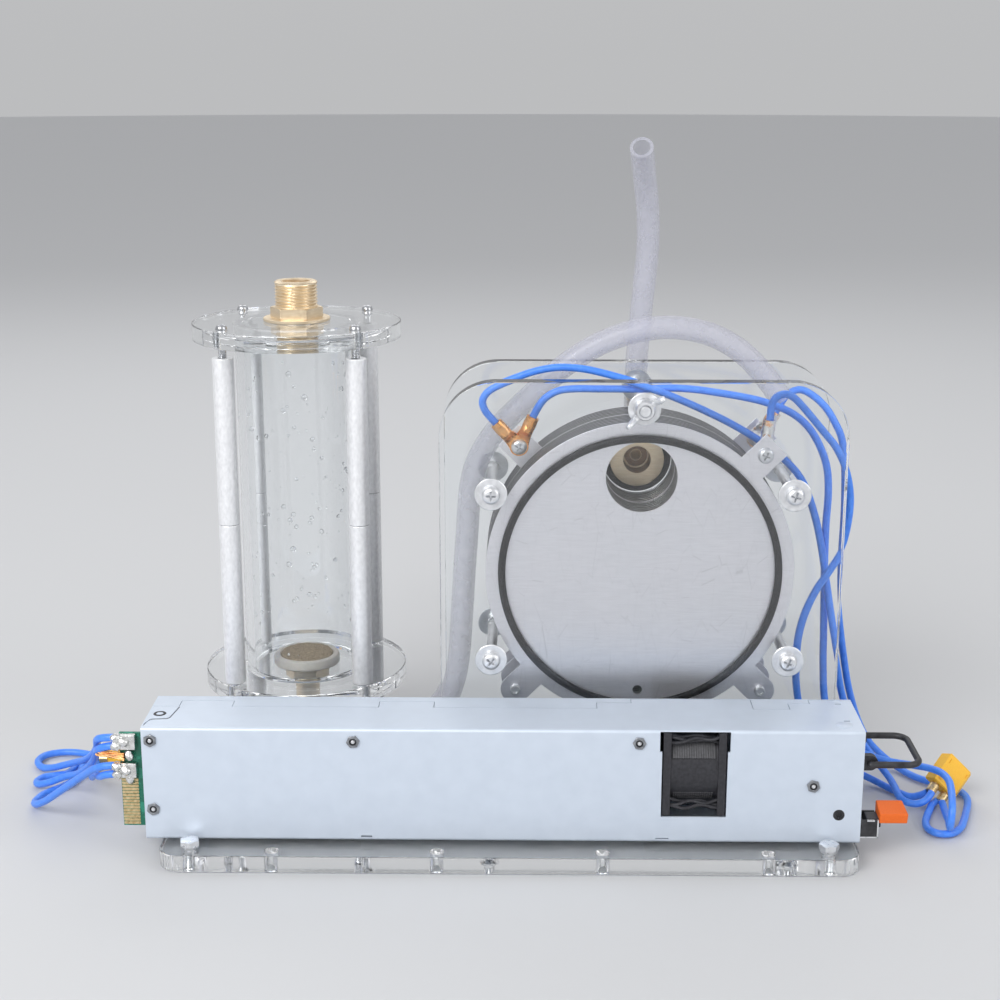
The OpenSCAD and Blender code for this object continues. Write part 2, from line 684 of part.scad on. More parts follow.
lead_4_route = [
    [122.7, 18.2, 183.4], [127, 18.5, 190.3], [131, 19.3, 196.2], [137, 20, 198.5], [143.5, 20, 195.5],
    [149.5, 19, 190],
    [154, 18, 183], [157.5, 17, 175], [159, 16, 163], [159.5, 16, 150], [159.5, 16, 137],
    [159, 16, 122], [159, 16, 106],
    [160, 16, 92], [162, 16, 78], [164.5, 17, 64], [167.5, 19, 50], [171.5, 23, 37], [176, 27.5, 25.5],
    [181.5, 31, 15], [188, 32, 7.5], [194, 28.5, 3.2], [198.5, 21.5, 2], [202.5, 14.5, 2], [208, 9, 2],
    [214.5, 4.5, 2],
    [220, -1, 2], [222.5, -9, 2], [221, -18, 2], [218, -27, 2], [214.8, -36, 2], [211.2, -44, 2],
    [206, -49.5, 2],
    [200, -50, 2], [196.2, -45.5, 2], [196.2, -38.5, 2], [198.6, -31, 2], [201.4, -24, 2],
    [203.8, -18.2, 2], [207.3, -13.9, 2],
];
supply_lead_1_route = [
    [-176.3, -72.5, 57], [-179.3, -72.4, 56.9], [-182.8, -70.9, 56], [-185.6, -66.8, 53.6],
    [-188, -59, 49], [-192, -45, 40.5], [-198.5, -29, 30], [-206, -14, 21],
    [-214.5, 0, 13.5], [-223, 9, 8], [-231, 14.5, 4], [-237.8, 19.5, 2], [-242, 27, 2],
    [-240, 34.8, 2], [-233, 38.5, 2],
    [-225, 38.5, 2], [-217, 36, 2], [-210.3, 34.6, 2.2],
];
supply_lead_2_route = [
    [-176.3, -72.5, 53], [-179.3, -72.4, 52.8], [-182.8, -71.2, 51.5], [-185.8, -67.6, 48.7],
    [-188.6, -60, 43.8], [-193, -48, 35.5], [-201, -31, 24], [-209.5, -17.5, 15],
    [-218, -10, 10], [-227, -6.6, 5.4], [-233.5, -2.7, 2.8], [-235.6, 2.3, 2], [-233.5, 7.3, 2],
    [-228.6, 9.3, 2],
    [-223.7, 11.3, 2], [-221.6, 16.3, 2], [-220.6, 21, 2], [-219, 25.5, 2], [-216.5, 29.5, 2.6],
    [-213.8, 31.4, 4], [-210.3, 32.6, 5.8],
];
supply_lead_3_route = [
    [-176.3, -72.5, 43.5], [-179.3, -72.5, 43.4], [-183.2, -71.5, 42.5], [-188.2, -67.6, 39.4],
    [-195.5, -59.5, 32.5], [-204, -51, 24.5],
    [-212.5, -43, 16.5], [-220, -36, 9.5], [-226.5, -29.5, 4.5], [-230, -22, 2], [-228.5, -14, 2],
    [-224, -7.5, 2],
    [-219.5, -1, 2], [-216.8, 7, 2], [-216.8, 15, 2.8], [-215.8, 21.5, 4.6], [-210.3, 26.4, 5.8],
];
supply_lead_4_route = [
    [-176.3, -72.5, 39.5], [-179.3, -72.3, 39.2], [-182.7, -70.6, 37.9], [-185.4, -66.4, 35.5],
    [-188.4, -58.5, 32.2], [-193, -47, 28], [-198, -33, 20.5],
    [-202, -19, 14], [-205.5, -6, 9], [-208.5, 6, 5], [-210.5, 15, 2.8], [-211.3, 21.5, 2.1],
    [-210.3, 26.4, 2.2],
];

// Circle round a hexagon of the given width across flats
function hex_d(flats) = flats / cos(30);

// Cylinders along Y, from the front backwards
module y_cylinder(d, h) {
    rotate([-90, 0, 0]) cylinder(d = d, h = h);
}

module y_hex(flats, h) {
    rotate([-90, 0, 0]) cylinder(d = hex_d(flats), h = h, $fn = 6);
}

// Cylinder along X
module x_cylinder(d, h) {
    rotate([0, 90, 0]) cylinder(d = d, h = h);
}

// Rectangle with round corners, its lower left corner at the origin
module round_rect(w, h, r) {
    translate([r, 0]) square([w - 2 * r, h]);
    translate([0, r]) square([w, h - 2 * r]);
    for (x = [r, w - r]) for (y = [r, h - r]) translate([x, y]) circle(r);
}

// Points of a smooth curve through the route's points, two steps to a span
function curve_point(a, b, c, d, t) =
    0.5 * (2 * b + (c - a) * t + (2 * a - 5 * b + 4 * c - d) * t * t + (3 * b - a - 3 * c + d) * t * t * t);
function curve(p, steps = 2) = [
    for (i = [0:len(p) - 2]) for (s = [0:steps - 1])
        curve_point(p[max(i - 1, 0)], p[i], p[i + 1], p[min(i + 2, len(p) - 1)], s / steps),
    p[len(p) - 1],
];
function unit(v) = v / norm(v);
function square_off(v, t) = unit(v - (v * t) * t);

// Solid tube along a route, its rings carried along without twist
module cord(route, d, sides) {
    line = curve(route);
    last = len(line) - 1;
    along = [for (i = [0:last]) unit(line[min(i + 1, last)] - line[max(i - 1, 0)])];
    first_side = abs(along[0].z) < 0.9 ? [0, 0, 1] : [0, 1, 0];
    side = [
        for (i = 0, v = square_off(first_side, along[0]); i <= last;
            i = i + 1, v = i <= last ? square_off(v, along[i]) : v) v
    ];
    rings = [
        for (i = [0:last]) for (k = [0:sides - 1])
            line[i] + d / 2 * (cos(360 * k / sides) * side[i] + sin(360 * k / sides) * cross(along[i], side[i])),
    ];
    walls = [
        for (i = [0:last - 1]) for (k = [0:sides - 1])
            let (a = i * sides + k, b = i * sides + (k + 1) % sides)
            each [[a, a + sides, b + sides], [a, b + sides, b]],
    ];
    near_end = [for (k = [1:sides - 2]) [0, k, k + 1]];
    far_end = [for (k = [1:sides - 2]) [last * sides, last * sides + k + 1, last * sides + k]];
    polyhedron(points = rings, faces = concat(walls, near_end, far_end));
}

// Base plate

module base_outline() {
    translate([-base_w / 2, -base_d / 2]) round_rect(base_w, base_d, base_r);
}

module corner_places() {
    for (i = [-1, 1]) for (j = [-1, 1])
        translate([i * (base_w / 2 - bolt_inset_x), j * (base_d / 2 - bolt_inset_y), 0]) children();
}

module base_screw_places() {
    for (p = concat(rod_points, plate_screws)) translate([p.x, p.y, 0]) children();
}

// Countersunk screw standing on its head
module base_screw(gap) {
    cylinder(d1 = base_screw_head_d + 2 * gap, d2 = base_screw_d + 2 * gap, h = base_screw_head_h);
    cylinder(d = base_screw_d + 2 * gap, h = base_t + base_screw_reach + (gap > 0 ? 1 : 0));
}

module base_plate() {
    color([0.85, 0.9, 0.92, 0.4]) difference() {
        linear_extrude(base_t) base_outline();
        corner_places() translate([0, 0, -1]) cylinder(d = corner_bolt_d + 2 * fit_gap, h = base_t + 2);
        base_screw_places() base_screw(fit_gap);
        base_screw_places() translate([0, 0, -1]) cylinder(d = base_screw_head_d + 2 * fit_gap, h = 1 + eps);
        for (k = [0:bench_hole_n - 1])
            translate([bench_x + (k - (bench_hole_n - 1) / 2) * bench_pitch, -base_d / 2 + bench_inset, -1])
                cylinder(d = bench_hole_d, h = base_t + 2);
    }
}

module corner_bolts() {
    color("silver") corner_places() {
        cylinder(d = corner_bolt_d, h = base_t + corner_nut_h + corner_head_h / 2);
        translate([0, 0, base_t + corner_nut_h]) cylinder(d = hex_d(corner_hex), h = corner_head_h, $fn = 6);
    }
}

module corner_nuts() {
    color("silver") corner_places() translate([0, 0, base_t]) difference() {
        cylinder(d = hex_d(corner_nut_hex), h = corner_nut_h, $fn = 6);
        translate([0, 0, -1]) cylinder(d = corner_bolt_d + 2 * fit_gap, h = corner_nut_h + 2);
    }
}

module base_screws() {
    color("dimgray") base_screw_places() base_screw(0);
}

// Power supply

module mounting_tape() {
    color("black") for (i = [-1, 1])
        translate([supply_x + i * tape_offset - tape_l / 2, (sy0 + sy1 - tape_w) / 2, base_t])
            cube([tape_l, tape_w, tape_t]);
}

// Closed sheet section of the case, drawn across Y and Z and run along X
module case_section() {
    translate([sx0, sy0, sz0]) rotate([90, 0, 90]) linear_extrude(supply_l) difference() {
        round_rect(supply_d, supply_h, supply_bend_r);
        translate([supply_wall, supply_wall])
            round_rect(supply_d - 2 * supply_wall, supply_h - 2 * supply_wall, supply_bend_r - supply_wall);
    }
}

// Blocks that the cover's tabs take out of the tray's upper flange
module seam_tab_blocks(gap) {
    for (t = seam_tabs)
        translate([t[0] - gap, sy0 + supply_wall + 1, sz1 - supply_wall - 1])
            cube([t[1] + 2 * gap, seam_depth + t[2] - supply_wall - 1 + gap, supply_wall + 2]);
}

module fan_window(y, gap) {
    translate([fan_x0 - gap, y - 1, fan_z - fan_s / 2 - gap])
        cube([fan_l + 2 * gap, supply_wall + 2, fan_s + 2 * gap]);
}

module inlet_hole(gap) {
    translate([sx1 - supply_wall - 1, inlet_y - inlet_w / 2 - gap, sz0 + inlet_z - inlet_h / 2 - gap])
        cube([supply_wall + 2, inlet_w + 2 * gap, inlet_h + 2 * gap]);
}

// Slots for air beside the inlet's upper edge
module vent_slots() {
    for (k = [0:3])
        translate([sx1 - supply_wall - 1, sy0 + 9 + 6 * k, sz1 - supply_wall - 6.5]) cube([supply_wall + 2, 4, 3]);
}

// Ear on the end wall that carries one of the handle's pins
module pivot_ear(side) {
    ear_y = fan_y + side * (handle_span / 2 - handle_d / 2 - face_gap - lug_ear_w / 2);
    translate([sx1 - supply_wall, ear_y - lug_ear_w / 2, pivot_z - lug_ear_h / 2])
        cube([supply_wall + handle_pivot, lug_ear_w, lug_ear_h]);
    translate([pivot_x, ear_y - lug_ear_w / 2, pivot_z]) y_cylinder(lug_ear_h, lug_ear_w);
}

module supply_tray() {
    color([0.78, 0.82, 0.88]) difference() {
        union() {
            difference() {
                case_section();
                translate([sx0 - 1, sy0 - 1, sz0 - 1]) cube([supply_l + 2, seam_depth + face_gap + 1, supply_h + 2]);
                seam_tab_blocks(face_gap);
                fan_window(sy1 - supply_wall, window_gap);
            }
            translate([sx1 - supply_wall, sy0 + supply_wall + face_gap, sz0 + supply_wall + face_gap])
                cube([supply_wall, supply_d - 1.5 * supply_wall - face_gap, supply_h - 2 * supply_wall - 2 * face_gap]);
            translate([sx0, board_y1 + end_wall_gap, sz0 + supply_wall + face_gap])
                cube([supply_wall, sy1 - board_y1 - end_wall_gap - supply_wall / 2, supply_h - 2 * supply_wall - 2 * face_gap]);
            for (side = [-1, 1]) pivot_ear(side);
        }
        inlet_hole(fit_gap);
        vent_slots();
        translate([pivot_x, sy0 - 1, pivot_z]) y_cylinder(handle_d + 2 * run_gap, supply_d + 2);
    }
}

module supply_cover() {
    color([0.8, 0.85, 0.92]) difference() {
        union() {
            difference() {
                case_section();
                translate([sx0 - 1, sy0 + seam_depth, sz0 - 1]) cube([supply_l + 2, supply_d, supply_h + 2]);
            }
            intersection() {
                case_section();
                seam_tab_blocks(0);
            }
        }
        fan_window(sy0, window_gap);
        translate([fan_x0 - window_gap - window_step, sy0 - 1, fan_z + fan_s / 2 - window_step_h + window_gap])
            cube([fan_l + 2 * window_gap + 2 * window_step, supply_wall + 2, window_step_h]);
        for (p = concat(board_screws, [end_screw]))
            translate([p.x, sy0 - 1, p.y]) y_cylinder(case_screw_d + 2 * fit_gap, supply_wall + 2);
        translate([sx1 - cover_hole_end, sy0 - 1, sz0 + cover_hole_z]) y_cylinder(cover_hole_d, supply_wall + 2);
    }
}

module case_screws() {
    color("lightgray") {
        for (p = board_screws) translate([p.x, sy0, p.y]) {
            translate([0, -case_screw_head_h, 0]) y_hex(case_screw_hex, case_screw_head_h);
            translate([0, -case_screw_head_h / 2, 0])
                y_cylinder(case_screw_d, case_screw_head_h / 2 + supply_wall + board_gap + board_t + 1);
            translate([0, supply_wall, 0]) y_cylinder(case_collar_d, board_gap);
        }
        translate([end_screw.x, sy0, end_screw.y]) {
            translate([0, -case_screw_head_h, 0]) y_hex(case_screw_hex, case_screw_head_h);
            translate([0, -case_screw_head_h / 2, 0]) y_cylinder(case_screw_d, case_screw_head_h / 2 + supply_wall + 3);
            translate([0, supply_wall, 0]) y_hex(case_screw_hex, 2);
        }
    }
}

module circuit_board() {
    color("darkgreen") difference() {
        union() {
            translate([sx0 + face_gap, board_y0, board_mid_z - board_h / 2])
                cube([board_x1 - sx0 - face_gap, board_t, board_h]);
            translate([sx0 - tongue_out, board_y0, board_mid_z - tongue_h / 2])
                cube([tongue_out + tongue_root, board_t, tongue_h]);
        }
        for (p = board_screws)
            translate([p.x, board_y0 - 1, p.y]) y_cylinder(case_screw_d + 2 * fit_gap, board_t + 2);
    }
}

module output_tabs() {
    color("goldenrod") for (z = [output_tab_high, output_tab_low])
        translate([sx0 - tongue_out - 1.25, board_y0 - output_tab_t, sz0 + z - output_tab_h / 2])
            cube([output_tab_l, output_tab_t, output_tab_h]);
}

// Wound core standing on the board, with its two bobbin cheeks
module transformer() {
    cheek = 2;
    color("gold") translate([sx0 + transformer_x - transformer_l / 2, board_y1, board_mid_z - transformer_h / 2]) {
        cube([cheek, transformer_t, transformer_h]);
        translate([transformer_l - cheek, 0, 0]) cube([cheek, transformer_t, transformer_h]);
        translate([cheek, 3, 4]) cube([transformer_l - 2 * cheek, transformer_t - 6, transformer_h - 8]);
    }
}

module capacitors() {
    color("midnightblue") for (i = [-1, 1])
        translate([sx0 + capacitor_x, board_y1, board_mid_z + i * (capacitor_d / 2 + 1)])
            y_cylinder(capacitor_d, capacitor_l);
}

module heat_sink() {
    step = (sink_l - sink_fin_t) / (sink_fin_n - 1);
    color("gray") translate([sx0 + sink_x - sink_l / 2, board_y1, board_mid_z - sink_h / 2]) {
        cube([sink_l, sink_foot, sink_h]);
        for (k = [0:sink_fin_n - 1]) translate([k * step, sink_foot / 2, 0])
            cube([sink_fin_t, sink_foot / 2 + sink_fin_h, sink_h]);
    }
}

// Square frame of the fan, with the motor plate on three struts and the fixed shaft
module fan_frame() {
    strut_w = 2.4;
    color([0.08, 0.08, 0.09]) translate([fan_x0, fan_y, fan_z]) {
        difference() {
            union() {
                for (x = [0, fan_l - fan_flange])
                    translate([x, -fan_s / 2, -fan_s / 2]) cube([fan_flange, fan_s, fan_s]);
                x_cylinder(fan_s - 0.6, fan_l);
            }
            translate([-1, 0, 0]) x_cylinder(fan_bore, fan_l + 2);
        }
        translate([fan_l - fan_plate_t, 0, 0]) x_cylinder(fan_hub_d, fan_plate_t);
        for (a = [30, 150, 270]) rotate([a, 0, 0])
            translate([fan_l - fan_plate_t, fan_hub_d / 2 - 1, -strut_w / 2])
                cube([fan_plate_t, (fan_bore - fan_hub_d) / 2 + 1.2, strut_w]);
        translate([fan_l - fan_plate_t / 2 - hub_l, 0, 0]) x_cylinder(fan_shaft_d, hub_l);
    }
}

// Hub with pitched blades, trimmed to run inside the frame's bore
module fan_rotor() {
    hub_x = fan_x1 - fan_plate_t - face_gap - hub_l;
    pitch_angle = 38;
    blade_l = hub_l * 0.85;
    color([0.1, 0.1, 0.11]) translate([hub_x, fan_y, fan_z]) difference() {
        union() {
            x_cylinder(fan_hub_d, hub_l);
            intersection() {
                x_cylinder(fan_bore - 2 * fan_tip_gap, hub_l);
                for (k = [0:fan_blade_n - 1]) rotate([360 * k / fan_blade_n, 0, 0])
                    translate([hub_l / 2, fan_hub_d / 2 - 1, 0]) rotate([0, pitch_angle, 0])
                        translate([-blade_l / 2, 0, -fan_blade_t / 2]) cube([blade_l, fan_bore / 2, fan_blade_t]);
            }
        }
        translate([face_gap + fan_plate_t / 2, 0, 0]) x_cylinder(fan_shaft_d + 2 * run_gap, hub_l);
    }
}

module mains_inlet() {
    pin_w = 2;
    pin_h = 4;
    cavity_w = inlet_w - 2 * inlet_wall;
    cavity_h = inlet_h - 2 * inlet_wall;
    color([0.07, 0.07, 0.08]) translate([sx1, inlet_y, sz0 + inlet_z]) {
        difference() {
            translate([-inlet_depth, -inlet_w / 2, -inlet_h / 2]) cube([inlet_depth + inlet_rim, inlet_w, inlet_h]);
            translate([inlet_rim - inlet_cavity, -cavity_w / 2, -cavity_h / 2])
                cube([inlet_cavity + 1, cavity_w, cavity_h]);
        }
        for (p = [[-3, -7], [3, 0], [-3, 7]])
            translate([inlet_rim - inlet_cavity - 1, p.x - pin_w / 2, p.y - pin_h / 2])
                cube([inlet_pin_l + 1, pin_w, pin_h]);
    }
}

// Bent wire: two pins, two arms, two round corners and the bar
module pull_handle() {
    arm_l = handle_reach - handle_pivot - handle_bend_r;
    bar_l = handle_span - 2 * handle_bend_r;
    color([0.06, 0.06, 0.07]) translate([pivot_x, fan_y, pivot_z]) {
        for (side = [-1, 1]) translate([0, side * handle_span / 2, 0]) {
            sphere(d = handle_d);
            x_cylinder(handle_d, arm_l);
            translate([0, side > 0 ? -handle_pin_l : 0, 0]) y_cylinder(handle_d, handle_pin_l);
        }
        translate([arm_l, handle_span / 2 - handle_bend_r, 0])
            rotate_extrude(angle = 90) translate([handle_bend_r, 0]) circle(d = handle_d);
        translate([arm_l, -handle_span / 2 + handle_bend_r, 0]) rotate([0, 0, -90])
            rotate_extrude(angle = 90) translate([handle_bend_r, 0]) circle(d = handle_d);
        translate([arm_l + handle_bend_r, -bar_l / 2, 0]) y_cylinder(handle_d, bar_l);
    }
}

// Folded bracket on the end wall: web, two cheeks and the latch's pin
module latch_bracket() {
    color([0.08, 0.08, 0.09]) {
        translate([sx1, bracket_y0, bracket_z]) {
            cube([bracket_t, bracket_w, bracket_h]);
            for (y = [0, bracket_w - bracket_t]) translate([0, y, 0]) cube([bracket_out, bracket_t, bracket_h]);
        }
        translate([latch_px, bracket_y0 + bracket_t / 2, latch_pz]) y_cylinder(latch_pin_d, bracket_w - bracket_t);
    }
}

// Lever on the bracket's pin, with the finger tab outside the bracket
module release_latch() {
    lever_w = bracket_w - 2 * bracket_t - 2 * latch_gap;
    lever_y = bracket_y0 + bracket_t + latch_gap;
    tab_x = sx1 + bracket_out + latch_gap;
    tab_z = sz0 + latch_tab_z;
    color("orangered") difference() {
        union() {
            translate([latch_px, lever_y, latch_pz]) y_cylinder(latch_hub_d, lever_w);
            translate([latch_px - latch_hub_d / 4, lever_y, latch_pz])
                cube([tab_x - latch_px + latch_hub_d / 4 + 1, lever_w, tab_z + 1.5 - latch_pz]);
            translate([tab_x, bracket_y0, tab_z]) rotate([90, 0, 90]) linear_extrude(latch_tab_l) polygon([
                [0, 0], [bracket_w, 0], [bracket_w, latch_tab_h], [bracket_w - 1, latch_tab_h],
                [0, latch_tab_h - latch_tab_slope],
            ]);
        }
        translate([latch_px, lever_y - 1, latch_pz]) y_cylinder(latch_pin_d + 2 * run_gap, lever_w + 2);
    }
}

// Bubbler

module rod_places(z) {
    for (p = rod_points) translate([p.x, p.y, z]) children();
}

// Plain rod with a blind hole in its foot
module drilled_rod(l, hole_d, hole_l) {
    difference() {
        cylinder(d = rod_d, h = l);
        translate([0, 0, -1]) cylinder(d = hole_d + 2 * fit_gap, h = hole_l + 2);
    }
}

// Legs, each with a stud that goes up through the bottom disc into a rod
module bubbler_legs() {
    color("lightgray") rod_places(base_t) {
        drilled_rod(leg_l, base_screw_d, base_screw_reach);
        translate([0, 0, leg_l - 1]) cylinder(d = rod_stud_d, h = 1 + disc_t + rod_stud_l);
    }
}

module lower_rods() {
    color("lightgray") rod_places(rod_z0) {
        drilled_rod(rod_l, rod_stud_d, rod_stud_l);
        translate([0, 0, rod_l - 1]) cylinder(d = rod_stud_d, h = 1 + rod_stud_l);
    }
}

module upper_rods() {
    color("lightgray") rod_places(rod_z0 + rod_l) difference() {
        drilled_rod(rod_l, rod_stud_d, rod_stud_l);
        translate([0, 0, rod_l - rod_stud_l - 1]) cylinder(d = rod_stud_d + 2 * fit_gap, h = rod_stud_l + 2);
    }
}

module disc_screws() {
    color("silver") rod_places(disc_top) {
        translate([0, 0, -disc_t - top_gap - rod_stud_l]) cylinder(d = rod_stud_d, h = disc_t + top_gap + rod_stud_l + 1);
        cylinder(d1 = disc_screw_head_d, d2 = disc_screw_head_d * 0.7, h = disc_screw_head_h);
    }
}

// Ring-shaped seat for the tube, cut into the face at z
module tube_groove(z) {
    translate([bubbler_x, bubbler_y, z]) difference() {
        cylinder(d = seat_od, h = tube_seat + 1);
        translate([0, 0, -1]) cylinder(d = seat_id, h = tube_seat + 3);
    }
}

module disc_blank(z, hole_d) {
    difference() {
        translate([bubbler_x, bubbler_y, z]) cylinder(d = disc_d, h = disc_t, $fn = 128);
        translate([bubbler_x, bubbler_y, z - 1]) cylinder(d = hole_d, h = disc_t + 2);
        rod_places(z - 1) cylinder(d = rod_stud_d + 2 * fit_gap, h = disc_t + 2);
    }
}

module bubbler_bottom_disc() {
    color([0.85, 0.9, 0.92, 0.4]) difference() {
        disc_blank(disc_z0, inlet_thread_d + 2 * fit_gap);
        tube_groove(rod_z0 - tube_seat);
    }
}

module bubbler_top_disc() {
    color([0.85, 0.9, 0.92, 0.4]) difference() {
        disc_blank(disc_z1, nipple_d + 2 * fit_gap);
        tube_groove(disc_z1 - 1);
    }
}

module tube_ring(z, h) {
    translate([bubbler_x, bubbler_y, z]) difference() {
        cylinder(d = tube_d, h = h, $fn = 128);
        translate([0, 0, -1]) cylinder(d = tube_d - 2 * tube_wall, h = h + 2, $fn = 128);
    }
}

module tube_seals() {
    color([0.8, 0.81, 0.86, 0.55]) {
        tube_ring(rod_z0 - tube_seat, tube_seal_t);
        tube_ring(disc_z1 + tube_seat - tube_seal_t, tube_seal_t);
    }
}

module bubbler_tube() {
    foot = rod_z0 - tube_seat + tube_seal_t;
    color([0.85, 0.9, 0.92, 0.3]) tube_ring(foot, disc_z1 + tube_seat - tube_seal_t - foot);
}

// Threaded nipple with its hexagon and flange, the thread drawn as ridges
module outlet_nipple() {
    foot = disc_z1 - nipple_drop;
    hex_z = disc_top + nipple_flange_t;
    thread_z = hex_z + nipple_hex_h;
    ridges = floor(nipple_rise / nipple_pitch);
    color("gold") translate([bubbler_x, bubbler_y, 0]) difference() {
        union() {
            translate([0, 0, foot]) cylinder(d = nipple_d, h = disc_top - foot + 0.5);
            translate([0, 0, disc_top]) cylinder(d = nipple_flange_d, h = nipple_flange_t);
            translate([0, 0, hex_z]) cylinder(d = hex_d(nipple_hex), h = nipple_hex_h, $fn = 6);
            translate([0, 0, thread_z]) rotate_extrude() polygon(concat(
                [[0, -1], [nipple_d / 2 - nipple_thread, -1], [nipple_d / 2 - nipple_thread, 0]],
                [for (k = [0:ridges - 1]) each [
                    [nipple_d / 2, (k + 0.5) * nipple_pitch],
                    [nipple_d / 2 - nipple_thread, (k + 1) * nipple_pitch],
                ]],
                [[nipple_d / 2 - nipple_thread, nipple_rise + 0.5], [0, nipple_rise + 0.5]]));
        }
        translate([0, 0, foot - 1]) cylinder(d = nipple_bore, h = disc_top - foot + nipple_flange_t + nipple_hex_h + nipple_rise + 3);
    }
}

module diffuser_cup() {
    color("ivory") translate([bubbler_x, bubbler_y, rod_z0]) difference() {
        cylinder(d = cup_d, h = cup_h);
        translate([0, 0, cup_floor]) cylinder(d = stone_d + 2 * fit_gap, h = cup_h);
        translate([0, 0, -1]) cylinder(d = inlet_thread_d + 2 * fit_gap, h = cup_h);
    }
}

module diffuser_stone() {
    color("tan") translate([bubbler_x, bubbler_y, rod_z0 + cup_floor]) cylinder(d = stone_d, h = stone_h);
}

// Ridged hose tail standing on its shoulder
module hose_tail() {
    step = tail_l / tail_ridge_n;
    core = hose_id / 2 - 0.4;
    rotate_extrude() polygon(concat(
        [[0, -1], [core, -1]],
        [for (k = [0:tail_ridge_n - 1]) each [[core, k * step + 0.5], [tail_ridge_d / 2, k * step + 1.2], [core, (k + 1) * step]]],
        [[0, tail_l]]));
}

// Elbow under the bottom disc: thread, hexagon, body and an arm to the right
module bubbler_inlet() {
    arm_z = disc_z0 - inlet_drop;
    color("gold") translate([bubbler_x, bubbler_y, 0]) difference() {
        union() {
            translate([0, 0, disc_z0 - 1]) cylinder(d = inlet_thread_d, h = 1 + disc_t + cup_floor);
            translate([0, 0, disc_z0 - inlet_hex_h]) cylinder(d = hex_d(inlet_hex), h = inlet_hex_h, $fn = 6);
            translate([0, 0, arm_z]) cylinder(d = elbow_d, h = inlet_drop - 1);
            translate([0, 0, arm_z]) sphere(d = elbow_d);
            translate([0, 0, arm_z]) x_cylinder(elbow_d, inlet_arm);
            translate([inlet_arm, 0, arm_z]) rotate([0, 90, 0]) hose_tail();
        }
        translate([0, 0, arm_z]) cylinder(d = tail_bore, h = inlet_drop + disc_t + cup_floor + 1);
        translate([0, 0, arm_z]) x_cylinder(tail_bore, inlet_arm + tail_l + 1);
    }
}

// Cell

// Places on the cell's bolt circle, in the plane of its front face
module tie_places(y) {
    for (a = tie_angles) translate([cell_x + tie_r * cos(a), y, cell_z + tie_r * sin(a)]) children();
}

module end_plate(y, hole_d) {
    difference() {
        translate([cell_x, y + plate_t, base_t]) rotate([90, 0, 0]) linear_extrude(plate_t) {
            translate([-plate_w / 2, 0]) square([plate_w, plate_h - plate_r]);
            translate([-plate_w / 2 + plate_r, 0]) square([plate_w - 2 * plate_r, plate_h]);
            for (i = [-1, 1]) translate([i * (plate_w / 2 - plate_r), plate_h - plate_r]) circle(plate_r);
        }
        tie_places(y - 1) y_cylinder(tie_d + 2 * fit_gap, plate_t + 2);
        for (i = [-1, 1]) translate([cell_x + i * plate_screw_x, y + plate_t / 2, base_t - 1])
            cylinder(d = base_screw_d + 2 * fit_gap, h = base_screw_reach + 2);
        if (hole_d > 0) translate([cell_x, y - 1, outlet_z]) y_cylinder(hole_d, plate_t + 2);
    }
}

module cell_front_plate() {
    color([0.85, 0.9, 0.92, 0.3]) end_plate(front_y0, 0);
}

module cell_rear_plate() {
    color([0.85, 0.9, 0.92, 0.3]) end_plate(rear_y0, outlet_stem_d + 2 * fit_gap);
}

// Gas hole and levelling hole, through any piece of the stack
module stack_holes(y, h) {
    translate([cell_x, y - 1, outlet_z]) y_cylinder(gas_hole_d, h + 2);
    translate([cell_x, y - 1, cell_z - drain_drop]) y_cylinder(drain_hole_d, h + 2);
}

module round_sheet(y, h) {
    translate([cell_x, y, cell_z]) rotate([-90, 0, 0]) cylinder(d = electrode_d, h = h, $fn = 128);
}

// Strip that runs out of the sheet at an angle, with the hole for its screw
module sheet_tab(y, a, r, round_end) {
    translate([cell_x, y, cell_z]) rotate([0, -a, 0]) {
        translate([electrode_d / 2 - tab_w / 2, 0, -tab_w / 2])
            cube([r - electrode_d / 2 + tab_w / 2 + (round_end ? 0 : tab_end), electrode_t, tab_w]);
        if (round_end) translate([r, 0, 0]) y_cylinder(2 * tab_end, electrode_t);
    }
}

module tab_hole(y, a, r) {
    translate([cell_x + r * cos(a), y - 1, cell_z + r * sin(a)]) y_cylinder(terminal_d + 2 * fit_gap, electrode_t + 2);
}

// Electrode with a square terminal tab above and two round ears below
module electrode(y, tab_angle) {
    difference() {
        union() {
            round_sheet(y, electrode_t);
            sheet_tab(y, tab_angle, terminal_r, false);
            for (a = [225, 315]) sheet_tab(y, a, ear_r, true);
        }
        stack_holes(y, electrode_t);
        tab_hole(y, tab_angle, terminal_r);
        for (a = [225, 315]) tab_hole(y, a, ear_r);
    }
}

module front_electrode() {
    color("gainsboro") electrode(stack_y, 45);
}

module centre_electrode() {
    color("darkgray") electrode(centre_y, 135);
}

module rear_electrode() {
    color("gainsboro") electrode(last_y, 45);
}

module neutral_plates() {
    color("silver") for (k = [1:plate_n - 2])
        if (k != neutral_n + 1) difference() {
            round_sheet(stack_y + k * plate_step, electrode_t);
            stack_holes(stack_y + k * plate_step, electrode_t);
        }
}

module cell_gaskets() {
    color("black") for (k = [0:plate_n - 2])
        translate([cell_x, stack_y + k * plate_step + electrode_t, cell_z]) rotate([-90, 0, 0]) difference() {
            cylinder(d = electrode_d, h = gasket_t, $fn = 128);
            translate([0, 0, -1]) cylinder(d = gasket_id, h = gasket_t + 2, $fn = 128);
        }
}

// Round seal squeezed flat on both faces
module end_seal(y) {
    translate([cell_x, y + seal_t / 2, cell_z]) rotate([-90, 0, 0]) rotate_extrude($fn = 128)
        translate([seal_d / 2, 0]) intersection() {
            circle(d = seal_section, $fn = 48);
            square([seal_section + 1, seal_t], center = true);
        }
}

module end_seals() {
    color("black") {
        end_seal(front_y1);
        end_seal(last_y + electrode_t);
    }
}

